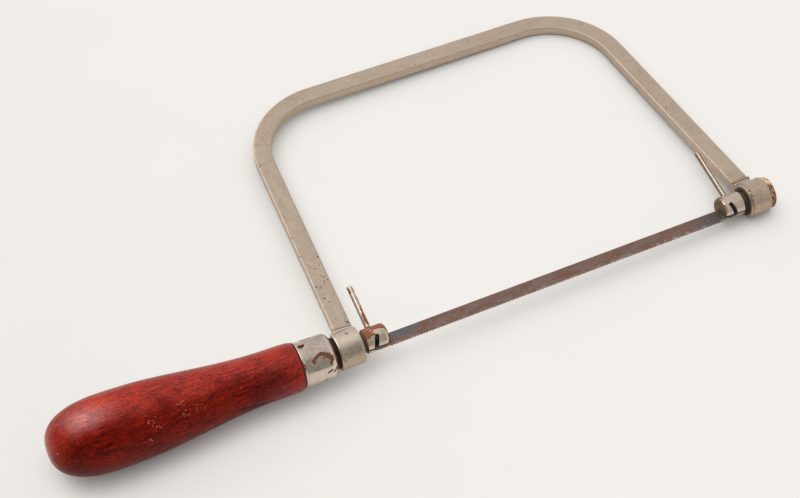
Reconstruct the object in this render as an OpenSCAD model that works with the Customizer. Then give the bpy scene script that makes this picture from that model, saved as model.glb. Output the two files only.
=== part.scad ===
// Coping saw: sprung steel bow frame, turned wooden handle on a threaded
// spigot, and a pin-ended blade held between two slotted, turning holders.
//
// Frame of the part: millimetres, +X runs along the blade line from the handle
// to the front, +Y runs from the blade line towards the back of the bow, +Z is
// the side of the saw that faces up when it lies on a bench.  The origin is
// inside the rear eye of the bow, on the line that the blade turns about.
// In paired names, x0 is the end nearer the handle and x1 the end nearer the front.

/* [Blade] */
// Distance between the two blade pins
blade_pin_span = 162; // [155:0.5:168]
// Distance from the turning line up to the blade's smooth back edge
blade_back_y = 0; // [-0.2:0.05:0.5]
// Distance from the turning line down to the tooth tips
blade_tip_y = 6.35; // [4.5:0.05:6.5]
// Thickness of the blade
blade_t = 0.5; // [0.4:0.05:0.6]
// Teeth per inch
teeth_per_inch = 20; // [10:1:24]
// Depth of a tooth
tooth_depth = 0.65; // [0.4:0.1:1.2]
// Length of plain blade beyond each pin
blade_overhang = 2.2; // [1.5:0.1:2.2]
// Diameter of the blade pins
blade_pin_d = 1.5; // [1.2:0.1:1.6]
// Length of the blade pins
blade_pin_len = 7.2; // [6:0.2:8]

/* [Blade holders] */
// Outside diameter of a holder head
head_d = 10; // [9:0.5:11]
// Diameter of the neck that runs through an eye
neck_d = 8.1; // [7:0.1:8.1]
// Width of the slot that takes the blade
blade_slot_w = 0.8; // [0.7:0.05:1]
// Width of the slot that takes a blade pin
pin_slot_w = 1.6; // [1.6:0.1:2]
// Slant of the pin slots from the square-across direction
pin_slot_slant = 28; // [20:1:32]
// Diameter of the levers that turn the blade
lever_d = 2.4; // [2:0.1:3]
// Reach of the rear lever from the turning line
rear_lever_reach = 23.8; // [20:0.1:30]
// Reach of the front lever from the turning line
front_lever_reach = 28.9; // [20:0.1:30]
// Angle between the rear lever and the blade's plane, seen along the blade
rear_lever_clock = 19.5; // [0:0.5:20]
// The same angle at the front lever
front_lever_clock = 9.5; // [0:0.5:20]

/* [Bow frame] */
// Width of the flat bar, in the plane of the bow
bar_w = 7.9; // [7:0.1:9]
// Thickness of the flat bar, along Z
bar_t = 4; // [3:0.1:5]
// Radius of the rolled long edges of the bar
bar_edge_r = 0.7; // [0.3:0.1:1]
// Depth of the bow from the blade line to the bar's centre, at the rear corner
bow_depth_rear = 135.2; // [110:0.5:150]
// The same depth at the front corner
bow_depth_front = 133.1; // [110:0.5:150]
// Centre-line radius of both corners
corner_r = 32.8; // [24:0.5:40]
// Outside diameter of the rear eye
rear_eye_d = 15.2; // [14:0.1:16]
// Outside diameter of the front eye
front_eye_d = 14.8; // [14:0.1:16]
// Bore of both eyes
eye_bore_d = 8.2; // [8.2:0.05:8.3]

/* [Handle] */
// Length of the wooden grip behind the ferrule
grip_len = 102.4; // [95:0.5:110]
// Largest diameter of the grip
grip_d = 30.5; // [29:0.5:34]
// Outside diameter of the ferrule
ferrule_d = 18.6; // [18.2:0.1:19]
// Length of the ferrule
ferrule_len = 14.3; // [13:0.1:15]
// Lean of the grip and ferrule off the turning line
handle_lean = 1.35; // [0:0.05:1.5]

/* [Hidden] */
$fn = 64;
inch = 25.4;

// seated blade pins
pin_y = -2.5;
rear_pin_x = 11.2;
front_pin_x = rear_pin_x + blade_pin_span;

// holder heads, eyes and levers along the blade line
rear_head_x0 = 6.5;
rear_head_x1 = 16.2;
front_head_x0 = front_pin_x - 4.0;
front_head_x1 = front_pin_x + 6.1;
head_round_r = 1.7;                 // rounding of a head's throat-side rim
head_chamfer = 0.25;
rear_eye_x0 = -5.9;
rear_eye_x1 = 4.4;
front_eye_x0 = front_pin_x + 7.9;
front_eye_x1 = front_pin_x + 17.75;
rear_lever_x = 10.3;
front_lever_x = front_pin_x + 1.65;

// washers
front_washer_x0 = front_eye_x1 + 0.05;
front_washer_x1 = front_washer_x0 + 2.6;
front_stub_r = 2.6;                 // front holder inside its washer
thrust_washer_x1 = rear_eye_x0 - 0.02;
thrust_washer_x0 = thrust_washer_x1 - 1.12;

// threaded spigot: quarter-inch thread, twenty turns to the inch
spigot_end_x = -38;
screw_r = inch / 8;
screw_pitch = inch / 20;
screw_root_r = 2.62;

// handle
ferrule_x1 = thrust_washer_x0 - 0.06;
ferrule_x0 = ferrule_x1 - ferrule_len;
grip_x1 = ferrule_x0 - 0.02;
grip_x0 = grip_x1 - grip_len;
ferrule_wall = 0.9;
tenon_r = ferrule_d / 2 - ferrule_wall - 0.05;
lean_clock = 35;                    // turn of the lean's plane about X
lean_setback = 0.16;                // shift of the leaning parts away from the washer
brad_x = -19.35;
brad_clock = 12;                    // turn of the brad from +Z towards +Y
brad_shank_r = 0.5;
brad_head_r = 0.9;
nut_x0 = -13.95;
nut_x1 = -8.5;
nut_across_flats = 11.1;
nut_corner_r = nut_across_flats / 2 / cos(30);

// bow path: where the centre lines of the arms and the back cross
rear_foot = [0.385, 0];
rear_corner = [9.78, bow_depth_rear];
front_corner = [front_pin_x + 0.26, bow_depth_front];
front_foot = [front_pin_x + 12.5, 0];

// ---------------------------------------------------------------- helpers

// a turned shape about the X axis; points are [radius, x]
module turned(points) {
    rotate([90, 0, 90]) rotate_extrude($fn = 96) polygon(points);
}

// a plain round bar along X
module round_x(r, x0, x1) {
    translate([x0, 0, 0]) rotate([0, 90, 0]) cylinder(r = r, h = x1 - x0, $fn = 64);
}

// a cutter along X that overshoots both faces
module bore_x(r, x0, x1) {
    round_x(r, x0 - 1, x1 + 1);
}

// a hexagonal bar along X
module hex_x(corner_radius, x0, length) {
    translate([x0, 0, 0]) rotate([0, 90, 0]) cylinder(r = corner_radius, h = length, $fn = 6);
}

// arc about [centre_r, centre_x] between two angles, as [radius, x] points
function arc_points(centre_r, centre_x, r, from, to, steps = 8) =
    [for (i = [0:steps])
        let (angle = from + (to - from) * i / steps)
        [centre_r + r * cos(angle), centre_x + r * sin(angle)]];

function unit(v) = v / norm(v);
function heading(v) = atan2(v[1], v[0]);

// ---------------------------------------------------------------- bow frame

// the bar's section with rolled corners, each face pulled in by shy;
// x lies in the plane of the bow, y is the thickness
module bar_section(shy = 0) {
    r = bar_edge_r;
    width = bar_w - 2 * shy;
    thick = bar_t - 2 * shy;
    square([width - 2 * r, thick], center = true);
    square([width, thick - 2 * r], center = true);
    for (x = [-1, 1], y = [-1, 1])
        translate([x * (width / 2 - r), y * (thick / 2 - r)]) circle(r = r, $fn = 24);
}

// straight bar between two points of the bow's plane
module bar_between(start, end) {
    run = end - start;
    translate([start[0], start[1], 0])
        rotate([0, 0, heading(run)])
            rotate([90, 0, 90]) linear_extrude(height = norm(run)) bar_section();
}

// geometry of a rounded corner between its neighbours on the path
function half_angle(before, corner, after) =
    acos(unit(before - corner) * unit(after - corner)) / 2;
function bend_centre(before, corner, after) =
    corner + unit(unit(before - corner) + unit(after - corner))
        * corner_r / sin(half_angle(before, corner, after));
// where the bend meets the straight that leads to "before"
function bend_end(before, corner, after) =
    corner + unit(before - corner) * corner_r / tan(half_angle(before, corner, after));

module bar_corner(before, corner, after) {
    centre = bend_centre(before, corner, after);
    angle1 = heading(bend_end(before, corner, after) - centre);
    angle2 = heading(bend_end(after, corner, before) - centre);
    turn = (angle2 - angle1 + 540) % 360 - 180;
    // the bend runs a little way inside both straights, a hundredth shy of them
    lap = 0.6;
    translate([centre[0], centre[1], 0])
        rotate([0, 0, (turn > 0 ? angle1 : angle2) - lap])
            rotate_extrude(angle = abs(turn) + 2 * lap, $fn = 128)
                translate([corner_r, 0]) bar_section(0.01);
}

// places children at the foot of an arm, with y running up the arm
module on_arm(foot, corner) {
    translate([foot[0], 0, 0]) rotate([0, 0, heading(corner - foot) - 90]) children();
}

module eye_blank(x0, x1, r) {
    edge = 0.5;
    bevel = edge * 0.3;
    turned([[0, x0], [r - edge, x0], [r - bevel, x0 + bevel], [r, x0 + edge],
            [r, x1 - edge], [r - bevel, x1 - bevel], [r - edge, x1], [0, x1]]);
}

module frame() {
    arm_start = 4.9;                // start of an arm's bar, inside the eye blank
    lap_y = 5.6;
    lap_len = 4.2;
    lap_proud = 0.28;
    seam_y = 8.6;
    seam_tilt = -7;
    rear_start = rear_foot + unit(rear_corner - rear_foot) * arm_start;
    front_start = front_foot + unit(front_corner - front_foot) * arm_start;
    color([0.72, 0.68, 0.62])
    difference() {
        union() {
            bar_between(rear_start, bend_end(rear_foot, rear_corner, front_corner));
            bar_corner(rear_foot, rear_corner, front_corner);
            bar_between(bend_end(front_corner, rear_corner, rear_foot),
                        bend_end(rear_corner, front_corner, front_foot));
            bar_corner(rear_corner, front_corner, front_foot);
            bar_between(bend_end(front_foot, front_corner, rear_corner), front_start);
            // eyes; the bar's end is lapped round each one
            eye_blank(rear_eye_x0, rear_eye_x1, rear_eye_d / 2);
            eye_blank(front_eye_x0, front_eye_x1, front_eye_d / 2);
            // end of the lap on the front arm, proud of both Z faces of the bar
            on_arm(front_foot, front_corner)
                translate([-bar_w / 2, lap_y, -bar_t / 2 - lap_proud])
                    cube([bar_w, lap_len, bar_t + 2 * lap_proud]);
        }
        bore_x(eye_bore_d / 2, rear_eye_x0, rear_eye_x1);
        bore_x(eye_bore_d / 2, front_eye_x0, front_eye_x1);
        // seam where the lap ends, a groove in the +Z face of the rear arm
        on_arm(rear_foot, rear_corner)
            translate([0, seam_y, bar_t / 2])
                rotate([0, 0, seam_tilt]) cube([bar_w + 2, 0.4, 0.5], center = true);
    }
}

// ---------------------------------------------------------------- handle

// turning template of the grip from the belly forward:
// [share of its length from the butt, share of its largest radius]
belly = 0.25;
template = [
    [belly, 1.0], [0.367, 0.978], [0.425, 0.950], [0.541, 0.864], [0.658, 0.773],
    [0.774, 0.698], [0.861, 0.673], [0.949, 0.668], [0.980, 0.655],
    [1.0, (ferrule_d / 2 + 0.16) / (grip_d / 2)]];

// slope of the chord between two template points
function chord_slope(i, j) =
    (template[j][1] - template[i][1]) / (template[j][0] - template[i][0]);
function slope(i) =
    i == 0 ? 0 : chord_slope(i - 1, min(i + 1, len(template) - 1));
// index of the template span that holds a share of the length
function span_of(share, i = 0) =
    i >= len(template) - 2 || share <= template[i + 1][0] ? i : span_of(share, i + 1);
// cubic Hermite curve through template span i
function eased(share, i) =
    let (start = template[i], end = template[i + 1],
         run = end[0] - start[0], t = (share - start[0]) / run)
    start[1] * (2 * pow(t, 3) - 3 * pow(t, 2) + 1)
    + slope(i) * run * (pow(t, 3) - 2 * pow(t, 2) + t)
    + end[1] * (-2 * pow(t, 3) + 3 * pow(t, 2))
    + slope(i + 1) * run * (pow(t, 3) - pow(t, 2));
// the butt is a superellipse up to the belly
function grip_r(share) = grip_d / 2 * (share < belly
    ? pow(1 - pow(1 - share / belly, 2.5), 0.4)
    : eased(share, span_of(share)));
function grip_point(share) = [grip_r(share), grip_x0 + grip_len * share];

// the grip and ferrule sit a little crooked on the spigot, hinged at the
// ferrule's front face; everything they turn on stays true to the blade line
module crooked() {
    translate([ferrule_x1 - lean_setback, 0, 0])
        rotate([lean_clock, 0, 0]) rotate([0, 0, -handle_lean]) rotate([-lean_clock, 0, 0])
            translate([-ferrule_x1, 0, 0]) children();
}

// a rod on the brad's axis, square to the ferrule, just in from its open end;
// base is its distance from the ferrule's centre line
module brad_rod(r, base, h) {
    translate([brad_x, 0, 0]) rotate([-brad_clock, 0, 0])
        translate([0, 0, base]) cylinder(r = r, h = h, $fn = 24);
}

module handle() {
    butt_steps = 12;
    body_steps = 26;
    color([0.55, 0.10, 0.06])
    difference() {
        crooked() union() {
            turned(concat(
                [[0, grip_x0]],
                [for (i = [1:butt_steps]) grip_point(belly * pow(i / butt_steps, 1.9))],
                [for (i = [1:body_steps]) grip_point(belly + (1 - belly) * i / body_steps)],
                [[0, grip_x1]]));
            // tenon inside the ferrule, bevelled to clear the rounded nose
            turned([[0, grip_x1 - 1], [tenon_r, grip_x1 - 1], [tenon_r, ferrule_x1 - 3.3],
                    [tenon_r - 1.35, nut_x1 - 0.1], [0, nut_x1 - 0.1]]);
        }
        // clearance hole for the threaded spigot
        round_x(3.6, -46, 0);
        // hexagonal pocket that holds the nut
        hex_x(nut_corner_r + 0.05, nut_x0 - 0.03, 10);
        // hole of the ferrule's brad
        crooked() brad_rod(brad_shank_r + 0.02, tenon_r - 2.6, 6);
    }
}

module ferrule() {
    r = ferrule_d / 2;
    nose_r = 3.2;
    nose_wall = 1.0;
    bore_r = 3.7;
    color([0.74, 0.71, 0.66])
    crooked() difference() {
        turned(concat(
            // low bead round the open end
            [[r - ferrule_wall, ferrule_x0], [r + 0.08, ferrule_x0],
             [r + 0.14, ferrule_x0 + 0.35], [r + 0.08, ferrule_x0 + 0.75],
             [r, ferrule_x0 + 0.95]],
            arc_points(r - nose_r, ferrule_x1 - nose_r, nose_r, 0, 90, 10),
            [[bore_r, ferrule_x1], [bore_r, ferrule_x1 - nose_wall]],
            arc_points(r - nose_r, ferrule_x1 - nose_r, nose_r - nose_wall, 90, 45, 4),
            [[r - ferrule_wall, ferrule_x1 - nose_r]]));
        brad_rod(brad_head_r + 0.03, r - 3, 6);
    }
}

module ferrule_brad() {
    color([0.30, 0.20, 0.15])
    crooked() {
        brad_rod(brad_shank_r, tenon_r - 2.5, 2.6);
        brad_rod(brad_head_r, tenon_r + 0.06, 0.5);
    }
}

module handle_nut() {
    color([0.45, 0.40, 0.36])
    difference() {
        hex_x(nut_corner_r, nut_x0, nut_x1 - nut_x0);
        bore_x(screw_r + 0.03, nut_x0, nut_x1);
    }
}

module thrust_washer() {
    color([0.35, 0.30, 0.27])
    difference() {
        round_x(6.4, thrust_washer_x0, thrust_washer_x1);
        bore_x(3.5, thrust_washer_x0, thrust_washer_x1);
    }
}

// ---------------------------------------------------------------- holders

// slots of a holder: one along the axis for the blade and one slanted across
// it for the blade's pin, both open on the teeth side;
// side is 1 for the front holder and -1 for the rear
module holder_slots(x0, x1, pin_x, side) {
    past_throat = 2;
    past_neck = 0.6;
    translate([x0 - (side > 0 ? past_throat : past_neck), -8, -blade_slot_w / 2])
        cube([x1 - x0 + past_throat + past_neck, 8.6, blade_slot_w]);
    translate([pin_x, pin_y, 0]) rotate([0, 0, side * pin_slot_slant])
        translate([-pin_slot_w / 2, -9, -8])
            cube([pin_slot_w, 9 + blade_pin_d / 2 + 0.05, 16]);
}

// places children on the turning line, with z running out along a lever
module on_lever(x, clock) {
    translate([x, 0, 0]) rotate([clock - 90, 0, 0]) children();
}

module lever_hole(x, clock) {
    on_lever(x, clock)
        translate([0, 0, 1.6]) cylinder(r = lever_d / 2 + 0.015, h = 8, $fn = 32);
}

module lever(x, clock, reach) {
    r = lever_d / 2;
    base = 1.65;
    chamfer = 0.3;
    on_lever(x, clock) {
        translate([0, 0, base]) cylinder(r = r, h = reach - base - chamfer, $fn = 32);
        translate([0, 0, reach - chamfer])
            cylinder(r1 = r, r2 = r - chamfer, h = chamfer, $fn = 32);
    }
}

module rear_holder() {
    head_r = head_d / 2;
    neck_r = neck_d / 2;
    neck_x0 = -4.7;
    neck_chamfer = 0.3;
    tip_chamfer = 0.5;
    // one ring of the rolled thread: [radius, distance along the ring]
    thread_ring = [[screw_root_r, 0], [screw_r, 0.5], [screw_r, 0.75], [screw_root_r, 1.2]];
    color([0.60, 0.50, 0.43])
    difference() {
        union() {
            turned(concat(
                [[0, neck_x0], [neck_r - neck_chamfer, neck_x0],
                 [neck_r, neck_x0 + neck_chamfer], [neck_r, rear_head_x0],
                 [head_r - head_chamfer, rear_head_x0], [head_r, rear_head_x0 + head_chamfer]],
                arc_points(head_r - head_round_r, rear_head_x1 - head_round_r,
                           head_round_r, 0, 90),
                [[0, rear_head_x1]]));
            // threaded spigot: the thread is drawn as rings one pitch apart
            turned(concat(
                [[0, spigot_end_x], [screw_root_r - tip_chamfer, spigot_end_x],
                 [screw_root_r, spigot_end_x + tip_chamfer]],
                [for (i = [0:24], point = thread_ring)
                    [point[0], spigot_end_x + 0.7 + i * screw_pitch + point[1]]],
                [[screw_root_r, neck_x0 + 0.1], [0, neck_x0 + 0.1]]));
        }
        holder_slots(rear_head_x0, rear_head_x1, rear_pin_x, -1);
        lever_hole(rear_lever_x, rear_lever_clock);
    }
}

module rear_lever() {
    color([0.62, 0.48, 0.40]) lever(rear_lever_x, rear_lever_clock, rear_lever_reach);
}

module front_holder() {
    head_r = head_d / 2;
    neck_r = neck_d / 2;
    neck_x1 = front_eye_x1 + 0.03;
    // domed end in front of the washer: [radius, distance from the washer's face]
    dome = [[3.7, 0.03], [3.55, 0.4], [2.9, 0.75], [1.6, 0.95], [0, 1.0]];
    color([0.68, 0.62, 0.55])
    difference() {
        turned(concat(
            [[0, front_head_x0]],
            arc_points(head_r - head_round_r, front_head_x0 + head_round_r,
                       head_round_r, -90, 0),
            [[head_r, front_head_x1 - head_chamfer], [head_r - head_chamfer, front_head_x1],
             [neck_r, front_head_x1], [neck_r, neck_x1], [front_stub_r, neck_x1],
             [front_stub_r, front_washer_x1 + dome[0][1]]],
            [for (point = dome) [point[0], front_washer_x1 + point[1]]]));
        holder_slots(front_head_x0, front_head_x1, front_pin_x, 1);
        lever_hole(front_lever_x, front_lever_clock);
    }
}

module front_lever() {
    color([0.85, 0.83, 0.80]) lever(front_lever_x, front_lever_clock, front_lever_reach);
}

module front_end_washer() {
    r = 6.75;
    chamfer = 0.3;
    round_r = 0.9;
    color([0.42, 0.26, 0.16])
    difference() {
        turned(concat(
            [[0, front_washer_x0], [r - chamfer, front_washer_x0],
             [r, front_washer_x0 + chamfer]],
            arc_points(r - round_r, front_washer_x1 - round_r, round_r, 0, 90, 6),
            [[0, front_washer_x1]]));
        bore_x(front_stub_r + 0.05, front_washer_x0, front_washer_x1);
    }
}

// ---------------------------------------------------------------- blade

module blade() {
    pitch = inch / teeth_per_inch;
    x0 = rear_pin_x - blade_overhang;
    x1 = front_pin_x + blade_overhang;
    chamfer = 0.4;
    first_tooth_x = rear_pin_x + 4.6;
    tooth_count = floor((front_pin_x - 4.0 - first_tooth_x) / pitch);
    valley_y = -(blade_tip_y - tooth_depth);
    // teeth point to the handle, so the saw cuts on the pull; listed front to rear
    teeth = [for (i = [tooth_count - 1:-1:0])
        let (x = first_tooth_x + i * pitch)
        each [[x + pitch * 0.72, valley_y], [x + 0.12, -blade_tip_y], [x, valley_y]]];
    color([0.34, 0.28, 0.25])
    difference() {
        translate([0, 0, -blade_t / 2]) linear_extrude(height = blade_t)
            polygon(concat(
                [[x0, blade_back_y - chamfer], [x0 + chamfer, blade_back_y],
                 [x1 - chamfer, blade_back_y], [x1, blade_back_y - chamfer],
                 [x1, valley_y + chamfer], [x1 - chamfer, valley_y]],
                teeth,
                [[x0 + chamfer, valley_y], [x0, valley_y + chamfer]]));
        for (x = [rear_pin_x, front_pin_x])
            translate([x, pin_y, -3]) cylinder(r = blade_pin_d / 2 + 0.01, h = 6, $fn = 32);
    }
}

module blade_pin(x) {
    r = blade_pin_d / 2;
    chamfer = 0.15;
    color([0.40, 0.33, 0.28])
    translate([x, pin_y, -blade_pin_len / 2]) {
        cylinder(r1 = r - chamfer, r2 = r, h = chamfer, $fn = 32);
        translate([0, 0, chamfer]) cylinder(r = r, h = blade_pin_len - 2 * chamfer, $fn = 32);
        translate([0, 0, blade_pin_len - chamfer])
            cylinder(r1 = r, r2 = r - chamfer, h = chamfer, $fn = 32);
    }
}

module rear_blade_pin() { blade_pin(rear_pin_x); }
module front_blade_pin() { blade_pin(front_pin_x); }

frame();
handle();
ferrule();
ferrule_brad();
handle_nut();
thrust_washer();
rear_holder();
rear_lever();
front_holder();
front_lever();
front_end_washer();
blade();
rear_blade_pin();
front_blade_pin();
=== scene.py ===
# A small hand saw: a flat-bar bow, a turned red wooden handle with a nickelled ferrule, and a
# pin-ended blade held between two turning holders. It lies on its side: the blade runs along X
# with the handle at -X (rear) and the free end at +X (front), the bow reaches out to +Y and Z
# is up. Everything is modelled in millimetres and scaled to metres as each piece is finished.
import math
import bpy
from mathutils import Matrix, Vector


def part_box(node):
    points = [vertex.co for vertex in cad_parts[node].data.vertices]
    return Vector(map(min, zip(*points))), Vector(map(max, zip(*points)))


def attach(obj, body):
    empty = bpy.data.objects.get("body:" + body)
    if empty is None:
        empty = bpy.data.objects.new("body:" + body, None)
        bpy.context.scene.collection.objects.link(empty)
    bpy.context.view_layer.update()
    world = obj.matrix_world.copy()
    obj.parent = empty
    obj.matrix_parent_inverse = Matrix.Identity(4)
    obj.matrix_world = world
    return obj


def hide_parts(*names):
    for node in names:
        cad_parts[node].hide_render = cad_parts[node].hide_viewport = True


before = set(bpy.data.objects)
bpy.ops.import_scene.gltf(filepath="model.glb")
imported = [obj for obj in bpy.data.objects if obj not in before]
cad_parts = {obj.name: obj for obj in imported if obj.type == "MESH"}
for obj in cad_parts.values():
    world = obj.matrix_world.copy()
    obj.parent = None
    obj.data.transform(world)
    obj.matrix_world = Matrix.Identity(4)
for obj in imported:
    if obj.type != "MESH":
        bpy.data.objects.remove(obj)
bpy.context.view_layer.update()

from types import SimpleNamespace

import bmesh
import bpy
import numpy as np
from mathutils import Matrix

MM = 0.001                      # metres in a millimetre


# ------------------------------------------------------------------ driving dimensions
def span(node):
    low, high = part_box(node)
    return np.array(low) * 1000.0, np.array(high) * 1000.0


rear_low, rear_high = span("rear_holder")
front_low, _ = span("front_holder")
blade_low, blade_high = span("blade")
rear_pin_low, rear_pin_high = span("rear_blade_pin")
front_pin_low, front_pin_high = span("front_blade_pin")
rear_lever_low, rear_lever_high = span("rear_lever")
front_lever_low, front_lever_high = span("front_lever")
end_washer_low, end_washer_high = span("front_end_washer")
thrust_low, thrust_high = span("thrust_washer")

REAR_PIN = (rear_pin_low[:2] + rear_pin_high[:2]) / 2
FRONT_PIN = (front_pin_low[:2] + front_pin_high[:2]) / 2
PIN_LENGTH = rear_pin_high[2] - rear_pin_low[2]


def lever_direction(degrees):
    clock = math.radians(degrees)
    return np.array([0.0, math.cos(clock), math.sin(clock)])


REAR_LEVER_X = (rear_lever_low[0] + rear_lever_high[0]) / 2
FRONT_LEVER_X = (front_lever_low[0] + front_lever_high[0]) / 2
REAR_DIRECTION, FRONT_DIRECTION = lever_direction(19.5), lever_direction(9.5)
REAR_REACH, FRONT_REACH = 23.8, 28.9
LEVER_R = (rear_lever_high[0] - rear_lever_low[0]) / 2

# the corners of the bow's centre line in XY, before they are rounded
REAR_FOOT, REAR_CORNER = np.array([0.385, 0.0]), np.array([9.78, 135.2])
FRONT_CORNER, FRONT_FOOT = np.array([173.46, 133.1]), np.array([185.70, 0.0])
BEND_R = 32.8
BAR_WIDTH, BAR_THICK, BAR_EDGE_R = 7.9, 4.0, 0.48

FERRULE_X1, FERRULE_LENGTH, FERRULE_R, FERRULE_WALL = -7.1, 14.3, 9.3, 0.9
FERRULE_X0 = FERRULE_X1 - FERRULE_LENGTH
BORE_R = FERRULE_R - FERRULE_WALL
GRIP_X1 = FERRULE_X0 - 0.02
GRIP_LENGTH, GRIP_R = 102.4, 15.25
GRIP_X0 = GRIP_X1 - GRIP_LENGTH
BRAD_X, BRAD_ANGLE = -19.35, 78.0

HEAD_R, NECK_R, HEAD_ROUND = 5.0, 4.05, 1.7       # the blade holders
SLOT_HALF, PIN_SLOT_HALF, PIN_SLOT_LEAN = 0.42, 0.82, math.radians(28)


def rot_x(t):
    c, s = math.cos(t), math.sin(t)
    return np.array([[1, 0, 0], [0, c, -s], [0, s, c]])


def rot_z(t):
    c, s = math.cos(t), math.sin(t)
    return np.array([[c, -s, 0], [s, c, 0], [0, 0, 1]])


# the grip and ferrule stand 1.35 degrees off the blade line, hinged at the ferrule's face
LEAN = rot_x(math.radians(35)) @ rot_z(-math.radians(1.35)) @ rot_x(-math.radians(35))
LEAN_SHIFT = (np.array([FERRULE_X1 - 0.16, 0, 0])
              - LEAN @ np.array([FERRULE_X1, 0, 0]))


def leaned(points):
    return points @ LEAN.T + LEAN_SHIFT


# ------------------------------------------------------------------ noise and masks
def lattice_hash(ix, iy, iz, seed):
    h = (ix.astype(np.int64) * 374761393 + iy.astype(np.int64) * 668265263
         + iz.astype(np.int64) * 2147483647 + seed * 974634777) & 0xFFFFFFFF
    h = ((h ^ (h >> 13)) * 1274126177) & 0xFFFFFFFF
    h = ((h ^ (h >> 16)) * 2246822519) & 0xFFFFFFFF
    return (h ^ (h >> 15)) & 0xFFFFFFFF


def gradient_noise(points, seed):
    """Smooth gradient noise, about -1 to 1."""
    cell = np.floor(points).astype(np.int64)
    part = points - cell
    ease = part * part * part * (part * (part * 6 - 15) + 10)
    total = np.zeros(len(points))
    for corner in np.ndindex(2, 2, 2):
        h = lattice_hash(*(cell[:, i] + corner[i] for i in range(3)), seed)
        slope, weight = 0.0, 1.0
        for i in range(3):
            gradient = ((h >> (10 * i)) & 1023) / 511.5 - 1
            slope = slope + gradient * (part[:, i] - corner[i])
            weight = weight * (ease[:, i] if corner[i] else 1 - ease[:, i])
        total += weight * slope
    return total * 1.35


def fbm(points, scale, seed, octaves=4):
    """Fractal noise: each octave is half as strong and about twice as fine."""
    total, strength, weight = np.zeros(len(points)), 1.0, 0.0
    for k in range(octaves):
        total += strength * gradient_noise(points * scale * (2.03 ** k) + 17.3 * k, seed + k)
        weight += strength
        strength *= 0.5
    return total / weight * 1.6


def smoothstep(start, end, x):
    t = np.clip((x - start) / (end - start), 0, 1)
    return t * t * (3 - 2 * t)


def bell(x, centre, width):
    return np.exp(-((x - centre) / width) ** 2)


def segment_distance(flat, start, end):
    """Distance to a segment, and how far along it (0 to 1) the nearest point lies."""
    start, end = np.array(start, float), np.array(end, float)
    run = end - start
    t = np.clip(((flat - start) @ run) / (run @ run), 0, 1)
    return np.linalg.norm(flat - start - t[:, None] * run, axis=1), t


def patches(flat, radius, rows, soft):
    """Soft-rimmed ellipses on an unrolled surface, flat = (along, arc length).

    rows: along, degrees round, half length, half width, strength
    """
    mask = np.zeros(len(flat))
    for along, degrees, length, width, strength in rows:
        q = np.hypot((flat[:, 0] - along) / length,
                     (flat[:, 1] - math.radians(degrees) * radius) / width)
        mask = np.maximum(mask, strength * (1 - smoothstep(1 - soft, 1 + soft, q)))
    return mask


def dent_depth(flat, radius_at, rows):
    """Rounded dents; rows: x, degrees round, half length, half width, depth."""
    depth = np.zeros(len(flat))
    for x, degrees, length, width, deep in rows:
        q = np.hypot((flat[:, 0] - x) / length,
                     (flat[:, 1] - math.radians(degrees) * radius_at(x)) / width)
        depth += deep * np.exp(-q * q)
    return depth


def polar(points):
    """Distance from the X axis, and degrees from +Y towards +Z, running -90 to 270."""
    degrees = np.degrees(np.arctan2(points[:, 2], points[:, 1]))
    return np.hypot(points[:, 1], points[:, 2]), np.where(degrees < -90, degrees + 360, degrees)


# ------------------------------------------------------------------ mesh helpers
def edit(mesh, change):
    bm = bmesh.new()
    bm.from_mesh(mesh)
    change(bm)
    bm.to_mesh(mesh)
    bm.free()


def face_outward(bm):
    bmesh.ops.recalc_face_normals(bm, faces=bm.faces)


def raw_mesh(name, points, faces):
    mesh = bpy.data.meshes.new(name)
    mesh.from_pydata([tuple(p) for p in np.asarray(points, float)], [],
                     [tuple(int(i) for i in face) for face in faces])
    mesh.validate()
    edit(mesh, face_outward)
    ob = bpy.data.objects.new(name, mesh)
    bpy.context.scene.collection.objects.link(ob)
    return ob


def quad_grid(rows, columns, close_rows=False, close_columns=True):
    """Quads over points laid out row by row."""
    faces = []
    for i in range(rows if close_rows else rows - 1):
        a, b = i * columns, (i + 1) % rows * columns
        for j in range(columns if close_columns else columns - 1):
            k = (j + 1) % columns
            faces.append((a + j, b + j, b + k, a + k))
    return faces


def bake(ob):
    """Apply the object's modifiers to its mesh."""
    graph = bpy.context.evaluated_depsgraph_get()
    graph.update()
    mesh = bpy.data.meshes.new_from_object(ob.evaluated_get(graph), depsgraph=graph)
    old = ob.data
    ob.modifiers.clear()
    ob.data = mesh
    bpy.data.meshes.remove(old)


def modify(ob, kind, **settings):
    modifier = ob.modifiers.new(kind.lower(), kind)
    for key, value in settings.items():
        setattr(modifier, key, value)
    bake(ob)


def boolean(ob, other, operation="DIFFERENCE"):
    """Join or cut with another closed mesh, which is used up."""
    modify(ob, "BOOLEAN", operation=operation, solver="MANIFOLD", object=other)
    if len(ob.data.polygons) == 0:
        raise RuntimeError(f"{operation} of {ob.name} with {other.name} left nothing")
    bpy.data.objects.remove(other)


def voxel(ob, size):
    """Remesh evenly, then smooth, which softens every cut edge."""
    modify(ob, "REMESH", mode="VOXEL", voxel_size=size, adaptivity=0.0)
    modify(ob, "SMOOTH", factor=0.5, iterations=4)


def get_points(ob):
    flat = np.zeros(len(ob.data.vertices) * 3)
    ob.data.vertices.foreach_get("co", flat)
    return flat.reshape(-1, 3)


def get_normals(ob):
    flat = np.zeros(len(ob.data.vertices) * 3, np.float32)
    ob.data.vertex_normals.foreach_get("vector", flat)
    return flat.reshape(-1, 3).astype(float)


def set_points(ob, points):
    ob.data.vertices.foreach_set("co", np.asarray(points, np.float32).ravel())
    ob.data.update()


def set_mask(ob, name, values):
    mask = ob.data.attributes.new(name, "FLOAT", "POINT")
    mask.data.foreach_set("value", np.clip(values, 0, 1).astype(np.float32))


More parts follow.
